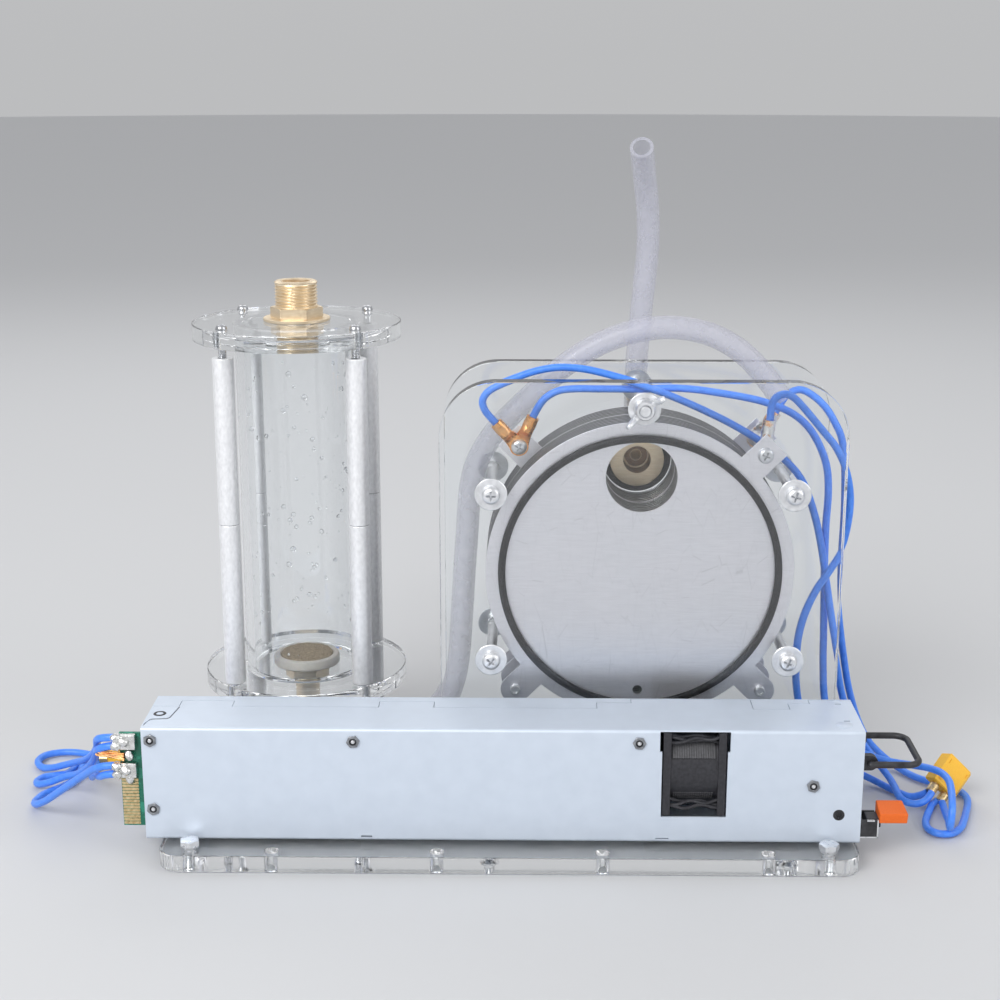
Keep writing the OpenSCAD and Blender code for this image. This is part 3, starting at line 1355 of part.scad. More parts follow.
// Rubber washer between the gas outlet's flange and the rear plate
module outlet_gasket() {
    color("black") translate([cell_x, rear_y0 - outlet_gasket_t, outlet_z]) difference() {
        y_cylinder(outlet_gasket_d, outlet_gasket_t);
        translate([0, -1, 0]) y_cylinder(outlet_stem_d + 2 * fit_gap, outlet_gasket_t + 2);
    }
}

// Tie bolts: the top one has its head at the back, the others at the front
module tie_bolts() {
    shank_l = rear_y1 - front_y0 + 2 * washer_t + tie_tail;
    front_seat = front_y0 - washer_t;
    rear_seat = rear_y1 + washer_t;
    color("silver") for (a = tie_angles) translate([cell_x + tie_r * cos(a), 0, cell_z + tie_r * sin(a)])
        if (a == 90) {
            translate([0, rear_seat - shank_l, 0]) y_cylinder(tie_d, shank_l + 1);
            translate([0, rear_seat, 0]) y_cylinder(tie_head_d, tie_head_h);
        } else {
            translate([0, front_seat - 1, 0]) y_cylinder(tie_d, shank_l + 1);
            translate([0, front_seat - tie_head_h, 0]) y_cylinder(tie_head_d, tie_head_h);
        }
}

module tie_washers() {
    color("gainsboro") for (y = [front_y0 - washer_t, rear_y1]) tie_places(y) difference() {
        y_cylinder(washer_d, washer_t);
        translate([0, -1, 0]) y_cylinder(tie_d + 2 * fit_gap, washer_t + 2);
    }
}

module tie_nuts() {
    color("silver") for (a = tie_angles) if (a != 90)
        translate([cell_x + tie_r * cos(a), rear_y1 + washer_t, cell_z + tie_r * sin(a)]) difference() {
            y_hex(tie_nut_hex, tie_nut_h);
            translate([0, -1, 0]) y_cylinder(tie_d + 2 * fit_gap, tie_nut_h + 2);
        }
}

// Wing nut on the top bolt: hub and two round-tipped wings that rise towards the front
module wing_nut() {
    tip_r = wing_rise * 0.32;
    seat = front_y0 - washer_t - face_gap;
    color("silver") translate([cell_x, seat, cell_z + tie_r]) rotate([0, -wing_angle, 0]) difference() {
        union() {
            translate([0, -wing_hub_h, 0]) y_cylinder(wing_hub_d, wing_hub_h);
            for (side = [-1, 1]) {
                translate([side > 0 ? 0 : -wing_span / 2 + tip_r, -wing_hub_h, -wing_t / 2])
                    cube([wing_span / 2 - tip_r, wing_hub_h - 1, wing_t]);
                translate([side * (wing_span / 2 - tip_r), -wing_rise + tip_r, -wing_t / 2]) cylinder(r = tip_r, h = wing_t);
                translate([side * (wing_span / 2 - tip_r) - tip_r, -wing_rise + tip_r, -wing_t / 2])
                    cube([2 * tip_r, wing_rise - tip_r - 2, wing_t]);
            }
        }
        translate([0, -wing_rise - 1, 0]) y_cylinder(tie_d + 2 * run_gap, wing_rise + 2);
    }
}

// Terminals

module terminal_screws() {
    color("silver") for (t = terminal_list) translate([t[0].x, t[1], t[0].y]) {
        translate([0, -t[5], 0]) y_cylinder(t[4], t[5]);
        translate([0, -1, 0]) y_cylinder(terminal_d, 1 + t[2] - t[1] + terminal_nut_h + t[3]);
    }
}

module terminal_nuts() {
    color("silver") for (t = terminal_list) translate([t[0].x, t[2], t[0].y]) difference() {
        y_hex(terminal_nut_hex, terminal_nut_h);
        translate([0, -1, 0]) y_cylinder(terminal_d + 2 * fit_gap, terminal_nut_h + 2);
    }
}

// Ring lug standing upright, its tongue from y = 0 backwards and its barrel on one side
module cable_lug(barrel_side) {
    barrel_y = barrel_side > 0 ? cable_barrel_d / 2 : cable_lug_t - cable_barrel_d / 2;
    neck_w = cable_barrel_d * 0.8;
    difference() {
        union() {
            y_cylinder(cable_ring_d, cable_lug_t);
            translate([-neck_w / 2, 0, 0]) cube([neck_w, cable_lug_t, cable_barrel_start + 2]);
            translate([0, barrel_y, cable_barrel_start]) cylinder(d = cable_barrel_d, h = cable_barrel_l);
        }
        translate([0, -1, 0]) y_cylinder(terminal_d + 2 * fit_gap, cable_lug_t + 2);
        translate([0, barrel_y, cable_barrel_start + 2]) cylinder(d = cable_barrel_bore, h = cable_barrel_l);
    }
}

module cable_lugs() {
    color([0.85, 0.5, 0.3]) for (l = lug_list)
        translate([l[0].x, l[1], l[0].y]) rotate([0, l[3], 0]) cable_lug(l[2]);
}

// Gas outlet: flange inside the plate, stem, hexagon behind it and a hose tail pointing up
module gas_outlet() {
    body_l = outlet_back + elbow_d / 2;
    flange_y = rear_y0 - outlet_gasket_t - outlet_flange_t;
    color("gold") translate([cell_x, 0, outlet_z]) difference() {
        union() {
            translate([0, flange_y, 0]) y_cylinder(outlet_flange_d, outlet_flange_t);
            translate([0, flange_y + 1, 0]) y_cylinder(outlet_stem_d, rear_y1 - flange_y);
            translate([0, rear_y1, 0]) y_hex(outlet_hex, outlet_hex_h);
            translate([0, rear_y1 + 1, 0]) y_cylinder(elbow_d, body_l - 1);
            translate([0, outlet_y, 0]) cylinder(d = elbow_d, h = outlet_rise);
            translate([0, outlet_y, outlet_rise]) hose_tail();
        }
        translate([0, flange_y - 1, 0]) y_cylinder(outlet_mouth_d, outlet_flange_t + plate_t);
        translate([0, rear_y0, 0]) y_cylinder(tail_bore, plate_t + outlet_back);
        translate([0, outlet_y, 0]) cylinder(d = tail_bore, h = outlet_rise + tail_l + 1);
    }
}

// Hoses, leads and connectors

module outlet_hose() {
    color([0.75, 0.75, 0.85, 0.6]) cord(outlet_route, hose_od, 12);
}

module feed_hose() {
    color([0.75, 0.75, 0.85, 0.6]) cord(feed_route, hose_od, 12);
}

module lead(route) {
    color("royalblue") cord(route, lead_d, 8);
}

// Two-pin connector: body with a cut corner pair and contact holes, and two solder cups
module connector(place) {
    cut = 2;
    color("gold") translate(place[0]) rotate(place[1]) difference() {
        union() {
            linear_extrude(connector_l) polygon([
                [-connector_w / 2, -connector_t / 2], [connector_w / 2 - cut, -connector_t / 2],
                [connector_w / 2, -connector_t / 2 + cut], [connector_w / 2, connector_t / 2 - cut],
                [connector_w / 2 - cut, connector_t / 2], [-connector_w / 2, connector_t / 2],
            ]);
            for (i = [-1, 1]) translate([i * contact_pitch / 2, 0, -solder_cup_l])
                cylinder(d = solder_cup_d, h = solder_cup_l + 1);
        }
        for (i = [-1, 1]) translate([i * contact_pitch / 2, 0, connector_l - contact_depth])
            cylinder(d = contact_bore, h = contact_depth + 1);
    }
}

module cell_connector() {
    connector(connector_a);
}

module supply_connector() {
    connector(connector_b);
}

base_plate();
corner_bolts();
corner_nuts();
base_screws();
mounting_tape();
supply_tray();
supply_cover();
case_screws();
circuit_board();
output_tabs();
transformer();
capacitors();
heat_sink();
fan_frame();
fan_rotor();
mains_inlet();
pull_handle();
latch_bracket();
release_latch();
bubbler_legs();
bubbler_bottom_disc();
bubbler_inlet();
diffuser_cup();
diffuser_stone();
tube_seals();
bubbler_tube();
lower_rods();
upper_rods();
bubbler_top_disc();
disc_screws();
outlet_nipple();
cell_front_plate();
cell_rear_plate();
front_electrode();
centre_electrode();
rear_electrode();
neutral_plates();
cell_gaskets();
end_seals();
outlet_gasket();
tie_bolts();
tie_washers();
tie_nuts();
wing_nut();
terminal_screws();
terminal_nuts();
cable_lugs();
gas_outlet();
outlet_hose();
feed_hose();
lead(lead_1_route);  // cell_lead_1
lead(lead_2_route);  // cell_lead_2
lead(lead_3_route);  // cell_lead_3
lead(lead_4_route);  // cell_lead_4
cell_connector();
lead(supply_lead_1_route);  // supply_lead_1
lead(supply_lead_2_route);  // supply_lead_2
lead(supply_lead_3_route);  // supply_lead_3
lead(supply_lead_4_route);  // supply_lead_4
supply_connector();
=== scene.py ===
import math
import random

import bmesh
import bpy
from mathutils import Matrix, Vector, noise


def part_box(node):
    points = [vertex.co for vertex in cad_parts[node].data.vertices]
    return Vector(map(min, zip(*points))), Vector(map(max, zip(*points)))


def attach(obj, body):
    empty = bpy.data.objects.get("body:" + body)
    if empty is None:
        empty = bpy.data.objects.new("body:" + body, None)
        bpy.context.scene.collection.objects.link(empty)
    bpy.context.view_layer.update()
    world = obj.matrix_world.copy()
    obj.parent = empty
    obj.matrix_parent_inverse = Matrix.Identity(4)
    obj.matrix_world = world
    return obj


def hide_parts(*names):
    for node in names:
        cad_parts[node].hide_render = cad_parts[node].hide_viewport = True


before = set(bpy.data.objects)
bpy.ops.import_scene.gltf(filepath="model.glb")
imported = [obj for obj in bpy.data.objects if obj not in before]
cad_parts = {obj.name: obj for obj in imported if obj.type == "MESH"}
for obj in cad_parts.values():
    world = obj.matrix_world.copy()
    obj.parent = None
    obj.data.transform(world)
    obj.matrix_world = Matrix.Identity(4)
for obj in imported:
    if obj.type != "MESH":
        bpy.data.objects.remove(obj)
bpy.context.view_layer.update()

scene = bpy.context.scene

# Camera and bench. The camera stands a little above the cell's top and looks down at the front.
# The bench top is a plain pale disc in a pale room, and soft lamps light it from the front, the side and behind.
camera = bpy.data.objects.new("bench_camera", bpy.data.cameras.new("bench_camera"))
scene.collection.objects.link(camera)
camera.location = (0.006638, -0.782935, 0.355032)
camera.rotation_euler = (math.radians(75.216), 0.0, math.radians(0.8526))
camera.data.lens = 61.63
camera.data.sensor_width = 36.0
camera.data.clip_start = 0.01
scene.camera = camera
scene.view_settings.view_transform = "Standard"
scene.cycles.max_bounces = 28
scene.cycles.glossy_bounces = 26
scene.cycles.transmission_bounces = 26
scene.cycles.transparent_max_bounces = 16


def preset(*nodes):
    """Sets the inputs of nodes, each given with its values."""
    for node, values in nodes:
        for socket, value in values.items():
            node.inputs[socket].default_value = value


def wire(tree, *links):
    """Joins sockets of a node tree, each link given as node, output, node and input."""
    for start, out, end, into in links:
        tree.links.new(start.outputs[out], end.inputs[into])


def hang_lamp(name, place, width, height, power):
    """Soft rectangular lamp that looks at the middle of the bench."""
    lamp = bpy.data.lights.new(name, "AREA")
    lamp.shape = "RECTANGLE"
    lamp.size = width
    lamp.size_y = height
    lamp.energy = power
    holder = bpy.data.objects.new(name, lamp)
    holder.location = place
    holder.rotation_euler = (LAMP_AIM - Vector(place)).to_track_quat("-Z", "Y").to_euler()
    scene.collection.objects.link(holder)


BENCH_RADIUS = 9.0
BENCH_LEVEL = -0.0004
bench_mesh = bpy.data.meshes.new("bench_top")
bench_outline = bmesh.new()
bmesh.ops.create_circle(bench_outline, cap_ends=True, radius=BENCH_RADIUS, segments=96)
bmesh.ops.translate(bench_outline, vec=(0, 0, BENCH_LEVEL), verts=bench_outline.verts)
bench_outline.to_mesh(bench_mesh)
bench_outline.free()
bench_top = bpy.data.objects.new("bench_top", bench_mesh)
scene.collection.objects.link(bench_top)
bench_paint = bpy.data.materials.new("bench_paint")
bench_paint.use_nodes = True
preset((bench_paint.node_tree.nodes["Principled BSDF"],
        {"Base Color": (0.62, 0.625, 0.635, 1), "Roughness": 0.75, "Specular IOR Level": 0.2}))
bench_mesh.materials.append(bench_paint)

LAMP_AIM = Vector((0, 0, 0.1))
hang_lamp("front_lamp", (-0.85, -1.35, 1.25), 1.3, 0.9, 25)
hang_lamp("side_lamp", (1.45, -0.7, 0.9), 0.9, 1.1, 7)
hang_lamp("rear_lamp", (-0.2, 1.25, 1.15), 1.7, 0.6, 5)

room = bpy.data.worlds.new("pale_room")
room.use_nodes = True
scene.world = room
room_tree = room.node_tree
room_light = room_tree.nodes["Background"]
room_way = room_tree.nodes.new("ShaderNodeTexCoord")
room_split = room_tree.nodes.new("ShaderNodeSeparateXYZ")
room_ramp = room_tree.nodes.new("ShaderNodeValToRGB")
preset((room_light, {"Strength": 0.9}))
wire(room_tree, (room_way, "Generated", room_split, "Vector"), (room_split, "Z", room_ramp, "Fac"),
     (room_ramp, "Color", room_light, "Color"))
bench_tone, ceiling_tone = room_ramp.color_ramp.elements
bench_tone.position, bench_tone.color = 0.0, (0.56, 0.565, 0.575, 1)
ceiling_tone.position, ceiling_tone.color = 0.8, (0.70, 0.705, 0.72, 1)


# Base plate. One sheet of clear cast acrylic, 8 mm thick, with rounded corners and drilled holes.
# Its sawn edges are flame polished, so that they are as bright as its faces. All that stands on a clear sheet
# touches it over a film of air, a hair's breadth thick.
MM = 0.001
WELD, FLAT_ANGLE, EDGE_ANGLE = 0.003, 0.6, 35


def finish_of(name, dark, light, rough, scale, bump, metal=0.0, stretch=(1, 1, 1), more=None):
    """A finish: noise along the piece varies its colour and its gloss, and raises the surface a little."""
    finish = bpy.data.materials.new(name)
    finish.use_nodes = True
    tree = finish.node_tree
    shader = tree.nodes["Principled BSDF"]
    way, lay, cloud, tint, gloss, relief = (tree.nodes.new("ShaderNode" + kind) for kind in (
        "TexCoord", "Mapping", "TexNoise", "ValToRGB", "MapRange", "Bump"))
    tint.name = "tint"
    preset((shader, {"Base Color": (*light, 1), "Roughness": rough[1], "Metallic": metal, **(more or {})}),
           (lay, {"Scale": stretch}), (cloud, {"Scale": scale, "Detail": 4.0}),
           (gloss, {"From Min": 0.3, "From Max": 0.7, "To Min": rough[0], "To Max": rough[1]}),
           (relief, {"Strength": bump, "Distance": 0.4 * MM}))
    for tone, position, colour in zip(tint.color_ramp.elements, (0.3, 0.7), (dark, light)):
        tone.position = position
        tone.color = (*colour, 1)
    wire(tree, (way, "Object", lay, "Vector"), (lay, "Vector", cloud, "Vector"), (cloud, "Fac", tint, "Fac"),
         (cloud, "Fac", gloss, "Value"), (cloud, "Fac", relief, "Height"), (tint, "Color", shader, "Base Color"),
         (gloss, "Result", shader, "Roughness"), (relief, "Normal", shader, "Normal"))
    return finish


def fitted(piece, body, slot, *stands_for):
    """A finished piece set on its body, in place of the solids that it stands for."""
    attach(piece, body)
    if stands_for:
        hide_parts(*stands_for)
    return piece


def settle(piece, sharp=32):
    """Keeps the finished mesh of a piece and takes its modifiers off."""
    made = bpy.data.meshes.new_from_object(piece.evaluated_get(bpy.context.evaluated_depsgraph_get()))
    piece.modifiers.clear()
    piece.data = made
    made.shade_smooth()
    made.set_sharp_from_angle(angle=math.radians(sharp))
    return piece


def eased(name, node, finish, slot, edge, steps=2, body="stand", reshape=None, gap=0.0):
    """A solid of the frame with its edges eased as on the real piece, and its faces drawn in by a gap."""
    shape = bmesh.new()
    shape.from_mesh(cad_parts[node].data)
    for layer in list(shape.loops.layers.float_vector.values()):
        shape.loops.layers.float_vector.remove(layer)
    bmesh.ops.remove_doubles(shape, verts=shape.verts, dist=WELD * MM)
    bmesh.ops.dissolve_limit(shape, angle_limit=math.radians(FLAT_ANGLE), verts=shape.verts, edges=shape.edges)
    if reshape:
        for vert in shape.verts:
            vert.co = reshape(vert.co / MM) * MM
    if gap:
        shape.normal_update()
        shifts = [vert.normal * vert.calc_shell_factor() * gap * MM for vert in shape.verts]
        for vert, shift in zip(shape.verts, shifts):
            vert.co -= shift
    mesh = bpy.data.meshes.new(name)
    shape.to_mesh(mesh)
    shape.free()
    if "custom_normal" in mesh.attributes:
        mesh.attributes.remove(mesh.attributes["custom_normal"])
    mesh.materials.clear()
    mesh.materials.append(finish)
    mesh.polygons.foreach_set("material_index", [0] * len(mesh.polygons))
    piece = bpy.data.objects.new(name, mesh)
    scene.collection.objects.link(piece)
    if edge:
        ease = piece.modifiers.new("eased_edges", "BEVEL")
        ease.width = edge * MM
        ease.segments = steps
        ease.limit_method = "ANGLE"
        ease.angle_limit = math.radians(EDGE_ANGLE)
        ease.use_clamp_overlap = False
        ease.harden_normals = False
    settle(piece, 45 / steps - 4 if edge else 32)
    return fitted(piece, body, slot, node)


clear_acrylic = finish_of("clear_acrylic", (0.966, 0.981, 0.987), (0.978, 0.988, 0.993), (0.008, 0.035), 45,
                          0.0, more={"Transmission Weight": 1.0, "IOR": 1.49})
CLEAR_GAP = 0.04
eased("base_sheet", "base_plate", clear_acrylic, "clear_acrylic", 0.4, gap=CLEAR_GAP)


# Base fasteners. Zinc-plated M5 hex bolts with thin nuts stand up at the four corners.
# Countersunk cross-recess screws come up through the plate into the bubbler's legs and the cell plates.
def loft(bm, rings, closed=False, finish_slot=0):
    """Skin over rings of points, with its ends capped, or joined where the rings go round."""
    rows = [[bm.verts.new(p) for p in ring] for ring in rings]
    sides = len(rows[0])
    made = []
    for k in range(len(rows) if closed else len(rows) - 1):
        near, far = rows[k], rows[(k + 1) % len(rows)]
        for s in range(sides):
            t = (s + 1) % sides
            made.append(bm.faces.new((near[s], near[t], far[t], far[s])))
    if not closed:
        made.append(bm.faces.new(list(reversed(rows[0]))))
        made.append(bm.faces.new(rows[-1]))
    for face in made:
        face.material_index = finish_slot
    return made


def ring_of(radius, height, sides):
    """One level circle of points; the radius may be a rule that gives it for each angle."""
    points = []
    for s in range(sides):
        angle = 2 * math.pi * s / sides
        reach = radius(angle) if callable(radius) else radius
        level = height(angle) if callable(height) else height
        points.append(Vector((reach * math.cos(angle), reach * math.sin(angle), level)))
    return points


def level_of(outline, height, grow=(1, 1), middle=(0, 0)):
    """One level ring through a flat outline, which may be drawn in or grown about a middle."""
    return [Vector((middle[0] + grow[0] * (x - middle[0]), middle[1] + grow[1] * (y - middle[1]), height))
            for x, y in outline]


def turned(bm, profile, sides, place=Matrix(), closed=False, finish_slot=0):
    """Turned shape about its own Z, through pairs of radius and height."""
    rings = [[place @ p for p in ring_of(radius, height, sides)] for radius, height in profile]
    return loft(bm, rings, closed, finish_slot)


HEX_SIDES, CORNER_FALL = 48, 0.58


def hexagon(bm, flats, low, high, hole=0.0, place=Matrix(), turned_to=0.485):
    """Hexagon whose corners are turned off at both ends, solid or round a hole."""
    circle = turned_to * flats

    def reach(angle):
        return flats / 2 / math.cos((angle + math.pi / 6) % (math.pi / 3) - math.pi / 6)

    def drop(angle):
        return max(0.0, reach(angle) - circle) * CORNER_FALL

    def face(angle):
        return min(circle, reach(angle))

    profile = [(face, low), (reach, lambda a: low + drop(a)), (reach, lambda a: high - drop(a)), (face, high)]
    if hole:
        profile = [(hole, low)] + profile + [(hole, high)]
    return turned(bm, profile, HEX_SIDES, place, bool(hole))


def thread_rings(radius, depth, pitch, low, high, sides, steps=6):
    """Rings of a cut thread that runs out at both of its ends."""
    rings = []
    count = max(4, round((high - low) / pitch * steps))
    for k in range(count + 1):
        level = low + (high - low) * k / count
        run_out = min(1.0, k / steps, (count - k) / steps)

        def reach(angle):
            phase = (level / pitch - angle / (2 * math.pi)) % 1.0
            return radius - depth * run_out * abs(2 * phase - 1)

        rings.append(ring_of(reach, level, sides))
    return rings


def made_piece(name, bm, *finishes, sharp=32):
    """Object from a mesh drawn in millimetres, its place kept in its vertices."""
    bmesh.ops.recalc_face_normals(bm, faces=bm.faces)
    bmesh.ops.scale(bm, vec=(MM, MM, MM), verts=bm.verts)
    mesh = bpy.data.meshes.new(name)
    bm.to_mesh(mesh)
    bm.free()
    for finish in finishes:
        mesh.materials.append(finish)
    mesh.shade_smooth()
    mesh.set_sharp_from_angle(angle=math.radians(sharp))
    piece = bpy.data.objects.new(name, mesh)
    scene.collection.objects.link(piece)
    return piece


def cut_away(piece, cutter):
    """Takes the cutter's shape out of a piece."""
    saw = piece.modifiers.new("cut", "BOOLEAN")
    saw.operation = "DIFFERENCE"
    saw.solver = "EXACT"
    saw.object = cutter
    settle(piece)
    bpy.data.objects.remove(cutter)


THREAD_DEPTH, THREAD_PITCH = 0.32, 0.8


def screw(name, head, shank, length, threaded, cross=None, sides=24):
    """Screw with its seat at height 0: head above, shank below with its thread cut, a cross in its head."""
    bm = bmesh.new()
    radius = shank / 2
    rings = [ring_of(radius - 0.45, -length, sides), ring_of(radius - 0.05, -length + 0.5, sides)]
    if threaded:
        rings += thread_rings(radius, THREAD_DEPTH, THREAD_PITCH, -length + 0.55, -length + threaded, sides)
    rings += [ring_of(radius, -0.02, sides)]
    rings += [ring_of(r, z, sides) for r, z in head]
    loft(bm, rings)
    piece = made_piece(name, bm)
    if cross:
        top, reach, width, depth = cross
        star = bmesh.new()
        outline = [(width, reach), (width, width), (reach, width), (reach, -width), (width, -width), (width, -reach),
                   (-width, -reach), (-width, -width), (-reach, -width), (-reach, width), (-width, width),
                   (-width, reach)]
        loft(star, [level_of(outline, top - depth, (0.45, 0.45)), level_of(outline, top + 0.05),
                    level_of(outline, top + 1)])
        cut_away(piece, made_piece("recess", star))
    return piece


def node_group(name, inputs, output):
    """New tree of Geometry Nodes with its named sockets, and its input and output nodes."""
    tree = bpy.data.node_groups.new(name, "GeometryNodeTree")
    for label, kind in inputs.items():
        tree.interface.new_socket(label, in_out="INPUT", socket_type="NodeSocket" + kind)
    tree.interface.new_socket(output, in_out="OUTPUT", socket_type="NodeSocketGeometry")
    return tree, tree.nodes.new("NodeGroupInput"), tree.nodes.new("NodeGroupOutput")


def grown(piece, tree, values, sharp=32):
    """Keeps the mesh that a tree makes on a piece, with the tree's inputs set by their identifiers."""
    scene.collection.objects.link(piece)
    growth = piece.modifiers.new(tree.name, "NODES")
    growth.node_group = tree
    for item in tree.interface.items_tree:
        if item.in_out == "INPUT" and item.name in values:
            growth[item.identifier] = values[item.name]
    return settle(piece, sharp)


set_out_tree, tree_in, tree_out = node_group(
    "set_out_on_places", {"Places": "Geometry", "Fastener": "Object", "Finish": "Material"}, "Set")
tree_piece, tree_turn, tree_way, tree_set, tree_real, tree_finish = (set_out_tree.nodes.new(kind) for kind in (
    "GeometryNodeObjectInfo", "GeometryNodeInputNamedAttribute", "FunctionNodeEulerToRotation",
    "GeometryNodeInstanceOnPoints", "GeometryNodeRealizeInstances", "GeometryNodeSetMaterial"))
tree_turn.data_type = "FLOAT_VECTOR"
preset((tree_piece, {"As Instance": True}), (tree_turn, {"Name": "turn"}))
wire(set_out_tree, (tree_in, "Places", tree_set, "Points"), (tree_in, "Fastener", tree_piece, "Object"),
     (tree_piece, "Geometry", tree_set, "Instance"), (tree_turn, "Attribute", tree_way, "Euler"),
     (tree_way, "Rotation", tree_set, "Rotation"), (tree_set, "Instances", tree_real, "Geometry"),
     (tree_real, "Geometry", tree_finish, "Geometry"), (tree_in, "Finish", tree_finish, "Material"),
     (tree_finish, "Geometry", tree_out, "Set"))


def set_out(name, fastener, places, finish, slot, *stands_for):
    """Copies of one fastener at its places, each a point in millimetres and a turn in degrees."""
    mesh = bpy.data.meshes.new(name)
    mesh.from_pydata([Vector(point) * MM for point, turn in places], [], [])
    turns = mesh.attributes.new("turn", "FLOAT_VECTOR", "POINT")
    for k, (point, turn) in enumerate(places):
        turns.data[k].vector = [math.radians(a) for a in turn]
    piece = grown(bpy.data.objects.new(name, mesh), set_out_tree, {"Fastener": fastener, "Finish": finish})
    bpy.data.objects.remove(fastener)
    return fitted(piece, "stand", slot, *stands_for)


zinc_plate = finish_of("zinc_plate", (0.78, 0.79, 0.81), (0.90, 0.91, 0.93), (0.22, 0.42), 420, 0.08, metal=0.9)
PLATE_TOP = 8.0
CORNER_PLACES = [(x, y) for x in (-143, 143) for y in (-82, 82)]

BOLT_SIDES = 24
bolt = bmesh.new()
loft(bolt, [ring_of(2.1, 0.0, BOLT_SIDES), ring_of(2.45, 0.4, BOLT_SIDES)]
     + thread_rings(2.5, THREAD_DEPTH, THREAD_PITCH, 0.45, 9.0, BOLT_SIDES) + [ring_of(2.5, 11.0, BOLT_SIDES)])
hexagon(bolt, 8.0, 9.5, 12.3)
turned(bolt, [(3.85, 12.0), (3.8, 12.3), (3.5, 12.45), (2.0, 12.5), (0.3, 12.5)], 32)
set_out("corner_hex_bolts", made_piece("hex_bolt", bolt),
        [((x, y, 0), (0, 0, 12 + 9 * k)) for k, (x, y) in enumerate(CORNER_PLACES)], zinc_plate,
        "steel_fastener", "corner_bolts")
nut = bmesh.new()
hexagon(nut, 7.0, 0.0, 1.5, 2.4)
set_out("corner_hex_nuts", made_piece("hex_nut", nut),
        [((x, y, PLATE_TOP), (0, 0, 38 - 7 * k)) for k, (x, y) in enumerate(CORNER_PLACES)], zinc_plate,
        "steel_fastener", "corner_nuts")

FOOT_PLACES = [(-134, 1), (-134, 63), (-72, 1), (-72, 63), (-9.5, -22), (-9.5, 29.4), (130.5, -22), (130.5, 29.4)]
set_out("base_countersunk_screws",
        screw("countersunk", [(2.0, 0.02), (4.0, 2.0), (4.0, 2.2), (0.3, 2.2)], 4.0, 19.8, 14, (2.2, 2.0, 0.4, 1.4)),
        [((x, y, 2.2), (180, 0, 15 * k)) for k, (x, y) in enumerate(FOOT_PLACES)], zinc_plate, "steel_fastener",
        "base_screws")


# Supply mounting tape. Two strips of black closed-cell foam hold the supply to the base plate.
# Their cut edges show the cells, and they are pressed a little flat.
black_foam = finish_of("black_foam", (0.02, 0.02, 0.022), (0.06, 0.06, 0.065), (0.8, 0.98), 1800, 0.6)
eased("foam_strips", "mounting_tape", black_foam, "foam_tape", 0.2)


# Supply case. A folded tray and a folded cover of 1 mm zinc-plated sheet, joined along a seam in the top.
# The cover has small lances near its lower edge, slots in its top and a dimple, and the handle's ears are black.
plated_sheet = finish_of("plated_sheet", (0.625, 0.695, 0.795), (0.66, 0.73, 0.83), (0.36, 0.5), 130, 0.02,
                         metal=0.3)
SUPPLY_TOP = 63.2
SUPPLY_FRONT = -76.0
CASE_END = 157.75
tray = eased("case_tray", "supply_tray", plated_sheet, "plated_sheet", 0)
cover = eased("case_cover", "supply_cover", plated_sheet, "plated_sheet", 0)
black_oxide = finish_of("black_oxide", (0.025, 0.025, 0.028), (0.06, 0.06, 0.065), (0.34, 0.52), 300, 0.08,
                        metal=0.4)


def repainted(piece, finish, chosen):
    """Gives a second finish to the faces whose middles, in millimetres, are chosen."""
    piece.data.materials.append(finish)
    for face in piece.data.polygons:
        if chosen(face.center / MM):
            face.material_index = 1


repainted(tray, black_oxide, lambda p: p.x > CASE_END + 0.1)


def block(bm, low, high):
    """Square-cornered block between two corners."""
    (x0, y0, z0), (x1, y1, z1) = low, high
    outline = [(x0, y0), (x1, y0), (x1, y1), (x0, y1)]
    loft(bm, [level_of(outline, z) for z in (z0, z1)])


lances = bmesh.new()
block(lances, (-66.5, -78, 10.9), (-61.5, -74, 11.7))
block(lances, (66.0, -78, 10.9), (72.0, -74, 11.5))
block(lances, (150.2, -64.2, 61), (153.0, -63.0, 65))
block(lances, (149.8, -43.6, 61), (152.6, -42.4, 65))
cut_away(cover, made_piece("lance_cutter", lances))

strap = bmesh.new()
strap_line = [(-163.0, -72.5), (-161.6, -67.0), (-160.2, -65.6), (-154.2, -65.0), (-153.0, -63.8), (-151.2, -51.6),
              (-163.0, -51.6)]
STRAP_MIDDLE = (-157.5, -59.0)


def stood(place, *turns):
    """Where a shape stands: its place in millimetres, then its turns in degrees, each with its axis."""
    stand = Matrix.Translation(place)
    for degrees, axis in turns:
        stand = stand @ Matrix.Rotation(math.radians(degrees), 4, axis)
    return stand


STRAP_SCREW = stood((-158.2, -60.2, SUPPLY_TOP))
TOP_DIMPLE = stood((149.6, -68.5, SUPPLY_TOP))
loft(strap, [level_of(strap_line, SUPPLY_TOP - 0.1), level_of(strap_line, SUPPLY_TOP + 0.22),
             level_of(strap_line, SUPPLY_TOP + 0.4, (0.97, 0.97), STRAP_MIDDLE)])
turned(strap, [(1.6, 0.0), (1.6, 0.52), (1.2, 0.7), (0.3, 0.75)], 28, STRAP_SCREW)
turned(strap, [(3.6, -0.1), (3.6, 0.12), (3.2, 0.28), (0.4, 0.32)], 28, TOP_DIMPLE)
fitted(made_piece("case_strap", strap, plated_sheet), "stand", "plated_sheet")

